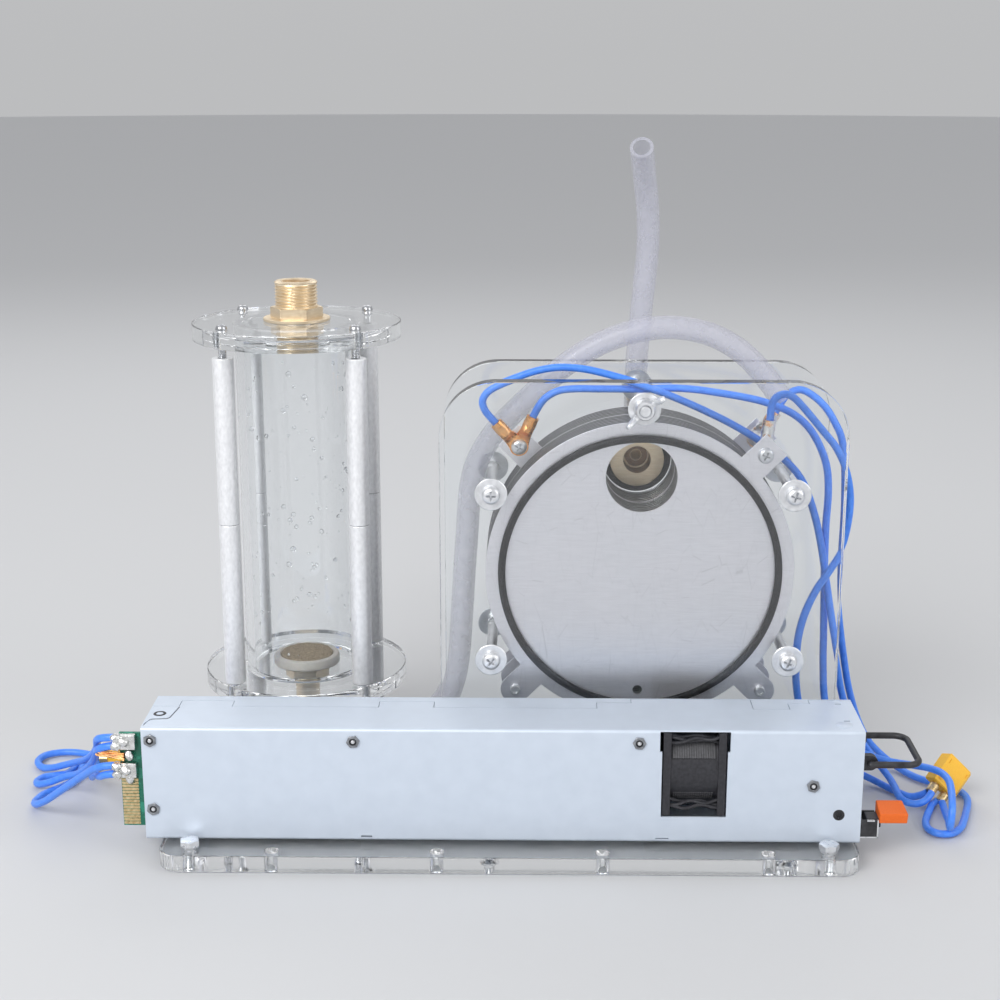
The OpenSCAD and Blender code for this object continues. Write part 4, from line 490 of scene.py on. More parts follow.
strap_screw = bmesh.new()
joint_line = [(p.x if x > -162 else x, p.y)
              for p, (x, y) in zip(level_of(strap_line, 0, (1.06, 1.09), STRAP_MIDDLE), strap_line)]
loft(strap_screw, [level_of(joint_line, SUPPLY_TOP - 0.1), level_of(joint_line, SUPPLY_TOP + 0.06)])
sunk_place = stood((147.75, SUPPLY_FRONT, 23.2), (90, "X"))
turned(strap_screw, [(1.5, -0.6), (1.5, 0.16), (2.3, 0.2), (2.6, 0.05), (2.6, -0.1)], 28, sunk_place, closed=True)
turned(strap_screw, [(1.45, -1.2), (1.45, -0.5), (0.8, -0.45), (0.6, -0.8), (0.2, -0.8)], 20, sunk_place)
turned(strap_screw, [(1.7, 0.0), (1.7, 0.52), (2.0, 0.66), (2.7, 0.6), (3.0, 0.3), (3.0, 0.0)], 28, STRAP_SCREW,
       closed=True)
fitted(made_piece("case_dark_screws", strap_screw, black_oxide), "stand", "black_steel")


# Case screws. Hexagon clinch nuts of plated steel sit flush in the cover's face.
# A small domed screw stands in each one, ringed by a black cone of painted shade in the nut's recess.
CASE_SCREWS = [((x, SUPPLY_FRONT, z), (90, 11 * k, 0)) for k, (x, z) in enumerate((
    (-159.75, 57.2), (-159.75, 24.2), (-69.25, 57.2), (57.95, 57.2), (135.75, 37.2)))]
clinch = bmesh.new()
hexagon(clinch, 5.3, -0.2, 0.9, 1.7)
clinch_grey = finish_of("clinch_grey", (0.22, 0.23, 0.25), (0.42, 0.435, 0.46), (0.28, 0.45), 600, 0.1,
                        metal=0.9)
set_out("case_clinch_nuts", made_piece("clinch_nut", clinch), CASE_SCREWS, clinch_grey, "steel_fastener",
        "case_screws")
# Painted shade: a black cone fills the recess round each dome screw, so that the recess looks dark.
well = bmesh.new()
turned(well, [(1.75, -0.2), (1.75, 0.3), (0.8, 0.45)], 28)
set_out("case_screw_wells", made_piece("screw_well", well), CASE_SCREWS, black_oxide, "black_steel")
dome = bmesh.new()
turned(dome, [(0.95, 0.1), (0.95, 0.7), (0.8, 0.95), (0.5, 1.1), (0.15, 1.15)], 28)
set_out("case_dome_screws", made_piece("dome", dome), CASE_SCREWS, zinc_plate, "steel_fastener")


# Circuit board. Green glass-fibre board; its tongue comes out of the case's left end.
# The tongue carries a block of gold-plated fingers on both faces.
solder_mask = finish_of("solder_mask", (0.012, 0.16, 0.10), (0.03, 0.27, 0.18), (0.25, 0.45), 260, 0.1)
mask_tint = solder_mask.node_tree.nodes["tint"]
mask_tint.color_ramp.interpolation = "CONSTANT"
mask_tint.color_ramp.elements[1].position = 0.52
eased("main_board", "circuit_board", solder_mask, "green_board", 0.15)
gold_plate = finish_of("gold_plate", (0.58, 0.42, 0.20), (0.86, 0.68, 0.40), (0.24, 0.45), 700, 0.08, metal=0.9)
finger = bmesh.new()
finger_line = [(-3.9, -0.5), (-3.6, -0.64), (3.4, -0.64), (3.7, -0.5), (3.7, 0.5), (3.4, 0.64), (-3.6, 0.64),
               (-3.9, 0.5)]
loft(finger, [level_of(finger_line, -0.02), level_of(finger_line, 0.14, (0.98, 0.94))])
finger_places = []
FINGERS, FINGER_X, FINGER_FOOT, FINGER_PITCH = 15, -170.7, 15.0, 1.5
BOARD_FRONT, BOARD_BACK = -71.0, -69.4
for k in range(FINGERS):
    for y, turn in ((BOARD_FRONT, 90), (BOARD_BACK, -90)):
        finger_places.append(((FINGER_X, y, FINGER_FOOT + FINGER_PITCH * k), (turn, 0, 0)))
set_out("board_fingers", made_piece("finger", finger), finger_places, gold_plate, "solder")


# Output tabs. Two copper blocks on the tongue, tinned and heaped with solder where the leads join.
# A tuft of bare copper strands is left standing out between the pairs of leads.
tin_solder = finish_of("tin_solder", (0.62, 0.62, 0.6), (0.9, 0.9, 0.89), (0.16, 0.45), 600, 0.5, metal=1.0)
eased("tinned_tabs", "output_tabs", tin_solder, "solder", 0.5, 3)
heap = bmesh.new()
bmesh.ops.create_icosphere(heap, subdivisions=3, radius=2.2)
for vert in heap.verts:
    vert.co *= 1 + 0.22 * noise.noise(vert.co * 0.75)
    vert.co.x *= 1.25
HEAP_PLACES = [((-175.6, -73.1, 57.0), (0, 0, 0)), ((-175.6, -73.1, 53.0), (70, 20, 0)),
               ((-175.6, -73.1, 43.5), (160, 0, 30)), ((-175.6, -73.1, 39.5), (250, 10, 0)),
               ((-172.0, -73.8, 55.4), (40, 40, 0)), ((-171.6, -73.8, 41.6), (300, 30, 0)),
               ((-170.0, -72.2, 48.2), (200, 60, 20)), ((-170.4, -71.8, 36.8), (20, 60, 80))]
set_out("solder_heaps", made_piece("solder_heap", heap, sharp=60), HEAP_PLACES, tin_solder, "solder")

bare_copper = finish_of("bare_copper", (0.84, 0.36, 0.10), (0.95, 0.56, 0.27), (0.2, 0.4), 260, 0.1, metal=0.9)


def rod_along(line, radius, sides):
    """Round wire along a line of points, its rings carried on without twist."""
    rings = []
    side = None
    for k, middle in enumerate(line):
        along = (line[min(k + 1, len(line) - 1)] - line[max(k - 1, 0)]).normalized()
        if side is None:
            side = Vector((0, 1, 0)) if abs(along.y) < 0.9 else Vector((1, 0, 0))
        side = (side - side.dot(along) * along).normalized()
        across = along.cross(side)
        rings.append([middle + radius * (math.cos(2 * math.pi * s / sides) * side
                                         + math.sin(2 * math.pi * s / sides) * across) for s in range(sides)])
    return rings


strands = bmesh.new()
strand_dice = random.Random(7)
for k in range(16):
    foot = Vector((-172.5, -72.4 + strand_dice.uniform(-0.9, 0.9), 47.9 + strand_dice.uniform(-1.9, 1.5)))
    tip = Vector((-185.2 + strand_dice.uniform(-1.2, 1.6), -69.8 + strand_dice.uniform(-1.0, 1.0),
                  49.0 + strand_dice.uniform(-1.7, 1.5)))
    bow = Vector((0, strand_dice.uniform(-0.4, 0.4), strand_dice.uniform(-0.5, 0.6)))
    line = [foot.lerp(tip, t / 6) + bow * math.sin(math.pi * t / 6) for t in range(7)]
    loft(strands, rod_along(line, 0.42, 8))
fitted(made_piece("copper_strands", strands, bare_copper), "stand", "copper_lug")


# Inside the case: the taped transformer, the sleeved capacitors and the finned heat sink.
# They stand on the board and show only through the vents and the fan's window.
winding_tape = finish_of("winding_tape", (0.62, 0.42, 0.06), (0.80, 0.58, 0.12), (0.35, 0.55), 60, 0.1,
                         stretch=(1, 12, 1))
eased("taped_transformer", "transformer", winding_tape, "winding_tape", 0.5)
shrink_sleeve = finish_of("shrink_sleeve", (0.02, 0.03, 0.11), (0.04, 0.055, 0.18), (0.24, 0.4), 90, 0.05)
eased("sleeved_capacitors", "capacitors", shrink_sleeve, "capacitor_sleeve", 0.5)
turned_aluminium = finish_of("turned_aluminium", (0.82, 0.825, 0.84), (0.95, 0.955, 0.97), (0.42, 0.58), 800,
                             0.15, metal=0.55, stretch=(1, 1, 0.5))
eased("finned_sink", "heat_sink", turned_aluminium, "aluminium_rod", 0.2)


# Fan. A square moulded frame with a round barrel, seen through the window in the cover.
# Its seven-bladed rotor turns on the motor plate; ribbed bands and the fan's own loom cross the barrel.
fan_black = finish_of("fan_black", (0.016, 0.016, 0.02), (0.035, 0.035, 0.042), (0.34, 0.52), 700, 0.15)
eased("fan_housing", "fan_frame", fan_black, "black_plastic", 0.25)
eased("fan_blades", "fan_rotor", fan_black, "black_plastic", 0.2, body="fan")
fan_grey = finish_of("fan_grey", (0.055, 0.055, 0.06), (0.10, 0.10, 0.108), (0.42, 0.6), 800, 0.15)
FAN_AXIS_Y, FAN_AXIS_Z, FAN_BARREL = -56.0, 42.1, 19.5
rib = bmesh.new()
block(rib, (-0.44, -3.9, -0.3), (0.44, 3.9, 0.5))


def on_barrel(x, tilt):
    """Place on the barrel's front at an angle above the axis, with the turn that faces outwards."""
    a = math.radians(tilt)
    return ((x, FAN_AXIS_Y - FAN_BARREL * math.cos(a), FAN_AXIS_Z + FAN_BARREL * math.sin(a)), (90 - tilt, 0, 0))


set_out("fan_upper_ribs", made_piece("fan_rib", rib), [on_barrel(73.5 + 1.06 * k, 33) for k in range(18)],
        fan_grey, "black_plastic")
stud = bmesh.new()
block(stud, (-0.35, -0.35, -0.3), (0.35, 0.35, 0.4))
set_out("fan_lower_studs", made_piece("fan_stud", stud),
        [on_barrel(74.0 + 1.0 * k, -30 - 4.2 * row) for k in range(18) for row in range(4)], fan_grey,
        "black_plastic")
LOOM_START, LOOM_WIDTH, LOOM_STEPS = 71.4, 22.8, 14
loom = bmesh.new()
for high, low, depth in ((58.6, 57.2, -73.6), (59.8, 58.8, -72.6), (57.0, 59.6, -74.3),
                         (27.4, 28.8, -74.0), (26.0, 26.6, -74.6), (29.2, 27.2, -73.0)):
    points = []
    for t in range(LOOM_STEPS + 1):
        x = LOOM_START + LOOM_WIDTH * t / LOOM_STEPS
        z = high + (low - high) * t / LOOM_STEPS + 0.7 * math.sin(0.7 * t + low)
        points.append(Vector((x, depth + 0.4 * math.sin(0.9 * t + high), z)))
    loft(loom, rod_along(points, 0.8, 10))
fitted(made_piece("fan_loom", loom, fan_black), "stand", "black_plastic")


# Mains inlet. A black moulded shell with three flat steel pins in its cavity, on the case's right end.
# The shell snaps into the end wall of the tray.
inlet = eased("mains_shell", "mains_inlet", fan_black, "black_plastic", 0.25)
PIN_PLACES = ((-53, 19.7), (-47, 26.7), (-53, 33.7))
repainted(inlet, zinc_plate, lambda p: 141.0 < p.x < 153.0 and any(
    abs(p.y - y) < 1.3 and abs(p.z - z) < 2.4 for y, z in PIN_PLACES))


# Pull handle and release latch. A black oxide steel wire swings in the ears of the case's right end.
# Below it a folded black bracket carries the latch, whose orange tab is pressed down to free the supply.
eased("wire_handle", "pull_handle", black_oxide, "black_steel", 0, body="handle")
eased("latch_stirrup", "latch_bracket", black_oxide, "black_steel", 0.15)
orange_nylon = finish_of("orange_nylon", (0.74, 0.125, 0.006), (0.80, 0.145, 0.010), (0.40, 0.52), 1600, 0.05)


def drawn_in(point):
    """The tab's outer end is drawn in at its top and at its lower edge, so that the thumb finds it."""
    if point.x > 172 and point.z > 23.0:
        point.x -= 1.2 if point.z > 24.6 else 0.2
    elif point.x > 172 and point.z < 19.5:
        point.x -= 0.6
    return point


LATCH_TAB_START, LATCH_ARM_END, LATCH_TAB_FOOT = 166.0, 167.5, 18.9
latch = eased("latch_tab", "release_latch", orange_nylon, "orange_plastic", 0.5, 3, body="latch", reshape=drawn_in)
repainted(latch, fan_black, lambda p: p.x < LATCH_TAB_START or (p.x < LATCH_ARM_END and p.z < LATCH_TAB_FOOT))
STIRRUP_FRONT, STIRRUP_BACK = -76.12, -75.0
# Bright zinc strips run along the bracket's outer edges.
stirrup = bmesh.new()
for x0, x1, z0, z1 in ((165.2, 165.8, 12.2, 20.7), (157.8, 165.8, 12.2, 12.75), (160.6, 164.0, 20.15, 20.7)):
    block(stirrup, (x0, STIRRUP_FRONT, z0), (x1, STIRRUP_BACK, z1))
fitted(made_piece("stirrup_sheared_edges", stirrup, zinc_plate), "stand", "steel_fastener")


# Bubbler foot. Four turned aluminium legs carry the lower disc of clear acrylic.
# The feed comes up through its middle in a brass elbow with a ridged hose tail.
eased("column_legs", "bubbler_legs", turned_aluminium, "aluminium_rod", 0.5)
eased("column_lower_disc", "bubbler_bottom_disc", clear_acrylic, "clear_acrylic", 0.4, gap=CLEAR_GAP)
machined_brass = finish_of("machined_brass", (0.83, 0.67, 0.46), (0.93, 0.79, 0.59), (0.3, 0.44), 220, 0.05,
                           metal=0.85, stretch=(1, 1, 6))
eased("feed_elbow", "bubbler_inlet", machined_brass, "brass", 0.15)


# Diffuser. A disc of sintered tan stone breaks the gas into small bubbles.
# It is pressed into a pale moulded cup that screws onto the feed elbow.
ivory_moulding = finish_of("ivory_moulding", (0.84, 0.80, 0.73), (0.91, 0.87, 0.81), (0.38, 0.55), 500, 0.1,
                           more={"Subsurface Weight": 0.1, "Subsurface Radius": (0.003, 0.002, 0.001)})
sintered_stone = finish_of("sintered_stone", (0.30, 0.22, 0.14), (0.68, 0.57, 0.42), (0.85, 1.0), 1100, 0.8)
COLUMN_X, COLUMN_Y = -103.0, 32.0
stone_place = stood((COLUMN_X, COLUMN_Y, 0))


def stone_level(reach, edge):
    return lambda a: edge + 0.35 * noise.noise(Vector((reach * math.cos(a), reach * math.sin(a), 3.0)) * 0.9)


cup = bmesh.new()
turned(cup, [(0.5, 56.05), (16.0, 56.05), (16.4, 56.6), (16.4, 59.6), (15.9, 60.5), (14.6, 60.95), (13.5, 60.7),
             (13.2, 60.2), (13.2, 57.6), (0.5, 57.6)], 64, stone_place)
fitted(made_piece("diffuser_holder", cup, ivory_moulding), "stand", "ivory_plastic", "diffuser_cup")
stone = bmesh.new()
turned(stone, [(12.6, 57.65), (12.95, 58.0), (12.95, 60.7)]
       + [(r, stone_level(r, 61.15)) for r in (12.5, 11.6, 10.4, 9.2, 8.0, 6.8, 5.6, 4.4, 3.2, 2.0, 0.9)],
       56, stone_place)
fitted(made_piece("diffuser_disc", stone, sintered_stone, sharp=60), "stand", "sintered_stone", "diffuser_stone")


# Bubbler column. A clear acrylic tube stands in grooves of the two discs, on flat rings of clear soft vinyl.
# Drops of water cling to the inside of its wall.
clear_seal = finish_of("clear_seal", (0.82, 0.83, 0.87), (0.90, 0.905, 0.93), (0.35, 0.5), 200, 0.02,
                       more={"Transmission Weight": 0.15, "IOR": 1.45})
eased("column_seals", "tube_seals", clear_seal, "clear_hose", 0)
eased("column_tube", "bubbler_tube", clear_acrylic, "clear_acrylic", 0.3, gap=CLEAR_GAP)

drop_tree, drop_in, drop_out = node_group(
    "drops_on_wall", {"Wall": "Geometry", "Drops per area": "Float", "Seed": "Int", "Finish": "Material"}, "Drops")
drop_spots, drop_ball, drop_chance, drop_bias, drop_size, drop_flat, drop_shape, drop_set, drop_real, drop_finish = (
    drop_tree.nodes.new(kind) for kind in (
        "GeometryNodeDistributePointsOnFaces", "GeometryNodeMeshIcoSphere", "FunctionNodeRandomValue",
        "ShaderNodeMath", "ShaderNodeMapRange", "ShaderNodeMath", "ShaderNodeCombineXYZ",
        "GeometryNodeInstanceOnPoints", "GeometryNodeRealizeInstances", "GeometryNodeSetMaterial"))
drop_chance.data_type = "FLOAT"
drop_bias.operation = "POWER"
drop_flat.operation = "MULTIPLY"
preset((drop_ball, {"Radius": 1.0, "Subdivisions": 2}), (drop_bias, {1: 3.5}),
       (drop_size, {"To Min": 0.00028, "To Max": 0.0015}), (drop_flat, {1: 0.5}))
wire(drop_tree, (drop_in, "Wall", drop_spots, "Mesh"), (drop_in, "Drops per area", drop_spots, "Density"),
     (drop_in, "Seed", drop_spots, "Seed"), (drop_in, "Seed", drop_chance, "Seed"), (drop_chance, 1, drop_bias, 0),
     (drop_bias, "Value", drop_size, "Value"), (drop_size, "Result", drop_shape, "X"),
     (drop_size, "Result", drop_shape, "Y"), (drop_size, "Result", drop_flat, 0),
     (drop_flat, "Value", drop_shape, "Z"),
     (drop_spots, "Points", drop_set, "Points"), (drop_ball, "Mesh", drop_set, "Instance"),
     (drop_spots, "Rotation", drop_set, "Rotation"), (drop_shape, "Vector", drop_set, "Scale"),
     (drop_set, "Instances", drop_real, "Geometry"), (drop_real, "Geometry", drop_finish, "Geometry"),
     (drop_in, "Finish", drop_finish, "Material"), (drop_finish, "Geometry", drop_out, "Drops"))

water = finish_of("water", (0.97, 0.985, 1.0), (0.99, 0.995, 1.0), (0.01, 0.03), 200, 0.01,
                  more={"Transmission Weight": 1.0, "IOR": 1.33})
WALL_RADIUS, WALL_SIDES, WALL_SPAN = 25.6, 48, (68.0, 206.0)
wall = bmesh.new()
wall_foot, wall_head = ([wall.verts.new(stone_place @ p * MM) for p in ring_of(WALL_RADIUS, z, WALL_SIDES)]
                        for z in WALL_SPAN)
for s in range(WALL_SIDES):
    t = (s + 1) % WALL_SIDES
    wall.faces.new((wall_foot[t], wall_foot[s], wall_head[s], wall_head[t]))
wall_mesh = bpy.data.meshes.new("wall_drops")
wall.to_mesh(wall_mesh)
wall.free()
drops = grown(bpy.data.objects.new("wall_drops", wall_mesh), drop_tree,
              {"Drops per area": 13000.0, "Seed": 5, "Finish": water}, 80)
fitted(drops, "stand", "clear_acrylic")


# Bubbler rods. Satin turned aluminium, two lengths screwed end to end at each corner, with a dark line of painted
# shade in the narrow gap between.
# Studs in their upper ends pass through the top disc, and domed screws hold it.
for place in ("lower", "upper"):
    eased(f"column_{place}_rods", f"{place}_rods", turned_aluminium, "aluminium_rod", 0.45)
ROD_PLACES = [(COLUMN_X + x, COLUMN_Y + y) for x, y in ((-31, -31), (31, -31), (31, 31), (-31, 31))]
rods_low, rods_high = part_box("upper_rods")
rod_radius = rods_high.x / MM - ROD_PLACES[1][0]
# Painted shade: a black ring sits in the groove where the rods meet, standing for the shade in the narrow gap.
joint = bmesh.new()
turned(joint, [(rod_radius - 1.5, -0.25), (rod_radius - 0.25, -0.25), (rod_radius - 0.25, 0.25),
               (rod_radius - 1.5, 0.25)], 32, closed=True)
set_out("column_rod_joints", made_piece("rod_joint", joint),
        [((x, y, rods_low.z / MM), (0, 0, 0)) for x, y in ROD_PLACES], black_oxide, "black_steel")
eased("column_top_disc", "bubbler_top_disc", clear_acrylic, "clear_acrylic", 0.4, gap=CLEAR_GAP)
bright_steel = finish_of("bright_steel", (0.48, 0.49, 0.51), (0.64, 0.65, 0.67), (0.18, 0.32), 500, 0.08,
                         metal=1.0)
DISC_TOP = 229.0
DOME_HEAD = [(2.75, 0.0), (2.75, 0.5), (2.55, 1.4), (2.1, 2.1), (1.4, 2.5), (0.4, 2.6)]
stud_length = DISC_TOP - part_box("disc_screws")[0].z / MM
set_out("column_disc_screws",
        screw("dome_screw", DOME_HEAD, 4.0, stud_length, stud_length - 4, (2.6, 1.4, 0.36, 1.2)),
        [((x, y, DISC_TOP), (0, 0, 20 + 31 * k)) for k, (x, y) in enumerate(ROD_PLACES)], bright_steel,
        "steel_fastener", "disc_screws")


# Outlet nipple. Machined brass with a hexagon, a flange and a cut pipe thread above and below them.
# It is screwed through the middle of the top disc, and its bore is the bubbler's gas outlet.
NIPPLE_SIDES, NIPPLE_FOOT, NIPPLE_TOP = 56, 215.0, 248.0
nipple = bmesh.new()
nipple_rings = [ring_of(9.4, NIPPLE_FOOT, NIPPLE_SIDES)]
for low, high in ((215.4, 228.8), (235.0, 247.4)):
    nipple_rings += thread_rings(10.3, 0.85, 1.5, low, high, NIPPLE_SIDES, 8)
nipple_rings += [ring_of(radius, level, NIPPLE_SIDES) for radius, level in (
    (9.5, NIPPLE_TOP), (7.5, NIPPLE_TOP), (7.0, NIPPLE_TOP - 0.5), (7.0, NIPPLE_FOOT))]
loft(nipple, [[stone_place @ p for p in ring] for ring in nipple_rings], closed=True)
turned(nipple, [(9.6, 229.0), (15.7, 229.0), (16.0, 229.3), (16.0, 230.2), (15.7, 230.5), (9.6, 230.5)], 64,
       stone_place, closed=True)
hexagon(nipple, 22.0, 230.5, 235.5, 9.6, stood((COLUMN_X, COLUMN_Y, 0), (-91, "Z")), turned_to=0.55)
fitted(made_piece("brass_nipple", nipple, machined_brass), "stand", "brass", "outlet_nipple")


# Cell clamp plates. Two upright sheets of clear cast acrylic with round upper corners.
# The bolt holes go square through both of them, and the rear one has the gas outlet's hole as well.
for place in ("front", "rear"):
    eased(f"cell_{place}_sheet", f"cell_{place}_plate", clear_acrylic, "clear_acrylic", 0.4, gap=CLEAR_GAP)


# Cell plates. Round discs of brushed stainless sheet, with square tabs on the three that carry current.
# The front face shows the brushing and a few fine scratches; the neutral plates between are painted darker, as
# painted shade inside the stack.
brushed_steel = finish_of("brushed_steel", (0.85, 0.84, 0.88), (0.93, 0.92, 0.96), (0.28, 0.44), 90, 0.06,
                          metal=0.72, stretch=(1.5, 1, 26))
steel_tree = brushed_steel.node_tree
scratch_way, scratch_lay, scratch_cells, scratch_edge, scratch_mix = (
    steel_tree.nodes.new("ShaderNode" + kind) for kind in ("TexCoord", "Mapping", "TexVoronoi", "MapRange", "Mix"))
scratch_cells.feature = "DISTANCE_TO_EDGE"
scratch_mix.data_type = "RGBA"
scratch_mix.blend_type = "MULTIPLY"
preset((scratch_lay, {"Rotation": (0, math.radians(12), 0), "Scale": (10, 1, 1.6)}), (scratch_cells, {"Scale": 22}),
       (scratch_edge, {"From Max": 0.012, "To Min": 0.86}), (scratch_mix, {"Factor": 1.0}))
wire(steel_tree, (scratch_way, "Object", scratch_lay, "Vector"), (scratch_lay, "Vector", scratch_cells, "Vector"),
     (scratch_cells, "Distance", scratch_edge, "Value"), (steel_tree.nodes["tint"], "Color", scratch_mix, 6),
     (scratch_edge, "Result", scratch_mix, 7), (scratch_mix, 2, steel_tree.nodes["Principled BSDF"], "Base Color"))
for place in ("front", "centre", "rear"):
    eased(f"cell_{place}_electrode", f"{place}_electrode", brushed_steel, "stainless", 0.12)
# Painted shade: the neutral plates' steel is darkened for the shade inside the stack between the electrodes.
stack_shade_steel = finish_of("stack_shade_steel", (0.30, 0.30, 0.31), (0.50, 0.50, 0.51), (0.34, 0.52), 260, 0.15,
                       metal=0.85, stretch=(1, 14, 1))
eased("cell_neutral_plates", "neutral_plates", stack_shade_steel, "stainless", 0.12)


# Cell gaskets and seals. Black rubber rings keep the plates apart, and a thick round ring seals each end.
# The washer under the gas outlet's flange is of the same rubber.
black_rubber = finish_of("black_rubber", (0.015, 0.015, 0.018), (0.04, 0.04, 0.045), (0.5, 0.72), 350, 0.15)
eased("cell_rubber_rings", "cell_gaskets", black_rubber, "black_rubber", 0.2)
CELL_X, CELL_Z = 60.5, 118.0


def squared_oval(half_x, half_y, power, sides):
    """Flat outline that is an oval at power 1, and squarer below that."""
    outline = []
    for s in range(sides):
        c, w = math.cos(2 * math.pi * s / sides), math.sin(2 * math.pi * s / sides)
        outline.append((half_x * math.copysign(abs(c) ** power, c), half_y * math.copysign(abs(w) ** power, w)))
    return outline


SEAL_RADIUS, SEAL_SEATS = 64.5, (-16.4, 23.8)
ring_section = [(SEAL_RADIUS + x, y) for x, y in squared_oval(1.7, 1.6, 0.8, 20)]
end_rings = bmesh.new()
for y in SEAL_SEATS:
    turned(end_rings, ring_section, 128, stood((CELL_X, y, CELL_Z), (90, "X")), closed=True)
fitted(made_piece("cell_end_rings", end_rings, black_rubber, sharp=60), "stand", "black_rubber", "end_seals")
eased("outlet_rubber_washer", "outlet_gasket", black_rubber, "black_rubber", 0.2)


# Gas outlet. A brass elbow whose flange sits inside the rear plate, with a hexagon and a ridged hose tail behind.
# Its flange and the lip at the bottom of its mouth show through the gas hole of the plates.
eased("outlet_elbow", "gas_outlet", machined_brass, "brass", 0.2)
# Painted shade: the floor of the mouth, behind the lip, is dark brass that stands for the shade deep in the bore.
bore_shade_brass = finish_of("bore_shade_brass", (0.14, 0.08, 0.045), (0.30, 0.19, 0.11), (0.32, 0.5), 220, 0.1,
                            metal=0.8, stretch=(1, 6, 1))
GAS_HOLE_Z = 164.0
flange_low, flange_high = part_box("gas_outlet")
mouth_stand = stood(((flange_low.x + flange_high.x) / 2 / MM, flange_low.y / MM, GAS_HOLE_Z), (90, "X"))
lip = bmesh.new()
turned(lip, [(5.5, -10.9), (6.4, -10.9), (6.4, -10.1), (6.1, -9.8), (5.7, -9.9), (5.5, -10.3)], 48, mouth_stand,
       closed=True)
# The dark disc in the mouth's floor is painted shade.
turned(lip, [(2.9, -10.95), (5.6, -10.95), (5.6, -10.6), (2.9, -10.6)], 48, mouth_stand, closed=True, finish_slot=1)
fitted(made_piece("outlet_mouth_lip", lip, machined_brass, bore_shade_brass), "stand", "brass")


# Cell clamp bolts. Six M5 pan-head bolts of plated steel on a circle, with wide washers and hexagon nuts.
# The top one is turned round, and a wing nut closes it at the front.
BOLT_CIRCLE = 80.0
white_zinc = finish_of("white_zinc", (0.73, 0.74, 0.76), (0.88, 0.89, 0.91), (0.3, 0.5), 380, 0.15, metal=0.85)
BOLT_PLACES = [(CELL_X + BOLT_CIRCLE * math.cos(math.radians(a)), CELL_Z + BOLT_CIRCLE * math.sin(math.radians(a)))
               for a in (30, 90, 150, 210, 270, 330)]
TOP_BOLT = 1
FRONT_FACE, REAR_FACE, WASHER = -26.0, 33.4, 1.2
FRONT_SEAT, REAR_SEAT = FRONT_FACE - WASHER, REAR_FACE + WASHER
PAN_HEAD = [(4.25, 0.0), (4.25, 1.1), (4.0, 2.2), (3.3, 3.0), (2.2, 3.35), (0.4, 3.4)]
bolt_places = []
for k, (x, z) in enumerate(BOLT_PLACES):
    if k == TOP_BOLT:
        bolt_places.append(((x, REAR_SEAT, z), (-90, 17, 0)))
    else:
        bolt_places.append(((x, FRONT_SEAT, z), (90, 17 + 37 * k, 0)))
set_out("cell_pan_bolts", screw("pan_bolt", PAN_HEAD, 5.0, 68.8, 20, (3.4, 2.5, 0.5, 2.2), 28), bolt_places,
        white_zinc, "steel_fastener", "tie_bolts")
washer = bmesh.new()
turned(washer, [(2.65, 0.05), (2.75, 0.0), (7.2, 0.0), (7.5, 0.3), (7.5, 0.95), (7.2, WASHER), (2.85, WASHER),
                (2.65, 1.1)], 48, closed=True)
set_out("cell_wide_washers", made_piece("wide_washer", washer),
        [((x, y, z), (turn, 0, 0)) for y, turn in ((FRONT_FACE, 90), (REAR_FACE, -90)) for x, z in BOLT_PLACES],
        white_zinc, "steel_fastener", "tie_washers")
tie_nut = bmesh.new()
hexagon(tie_nut, 8.0, 0.0, 4.0, 2.45)
set_out("cell_hex_nuts", made_piece("tie_nut", tie_nut),
        [((x, REAR_SEAT, z), (-90, 21 * k, 0)) for k, (x, z) in enumerate(BOLT_PLACES) if k != TOP_BOLT],
        white_zinc, "steel_fastener", "tie_nuts")

WING_SEAT = -27.5
wing_stand = stood((CELL_X, WING_SEAT, CELL_Z + BOLT_CIRCLE), (-40, "Y"), (90, "X"))
wing = bmesh.new()
turned(wing, [(2.65, 0.3), (2.9, 0.0), (4.9, 0.0), (5.0, 0.2), (5.0, 1.2), (4.3, 4.4), (3.9, 5.0), (2.9, 5.0),
              (2.65, 4.7)], 40, wing_stand, closed=True)
wing_line = [(3.3, 0.8), (5.4, 1.2), (7.6, 2.4), (9.6, 4.4), (10.8, 6.6), (11.0, 8.4), (10.4, 9.6), (9.2, 10.0),
             (7.9, 9.3), (6.9, 7.4), (5.8, 5.6), (4.6, 4.6), (3.3, 4.4)]
wing_centre = Vector((7.2, 5.4))
for side in (-1, 1):
    layers = []
    for across, shrink in ((-1.0, 0.86), (-0.7, 0.98), (0.0, 1.0), (0.7, 0.98), (1.0, 0.86)):
        layers.append([wing_stand @ Vector((side * (wing_centre.x + shrink * (r - wing_centre.x)), across,
                                            wing_centre.y + shrink * (h - wing_centre.y))) for r, h in wing_line])
    loft(wing, layers)
fitted(made_piece("cell_wing_nut", wing, white_zinc, sharp=50), "wing", "steel_fastener", "wing_nut")


# Terminals. M4 pan-head screws and hexagon nuts clamp the lugs to the plates' tabs, and socket studs close the ears.
# The lugs are crimped copper, some of them tinned.
TERMINAL_HEAD = [(3.75, 0.0), (3.75, 0.7), (3.5, 1.5), (2.9, 2.1), (1.9, 2.35), (0.4, 2.4)]
LEFT_TAB, RIGHT_TAB = (3.93, 174.57), (117.07, 174.57)
LEFT_EAR, RIGHT_EAR = (2.52, 60.02), (118.48, 60.02)
for which, length, (x, z), y in (("left", 8.7, LEFT_TAB, 1.5), ("front", 6.8, RIGHT_TAB, -14.8),
                                 ("rear", 4.8, RIGHT_TAB, 20.4)):
    set_out("terminal_screws_" + which,
            screw("pan_screw", TERMINAL_HEAD, 4.0, length, length - 1, (2.4, 2.1, 0.42, 1.6)),
            [((x, y, z), (90, 25, 0))], white_zinc, "steel_fastener",
            *(["terminal_screws"] if which == "front" else []))
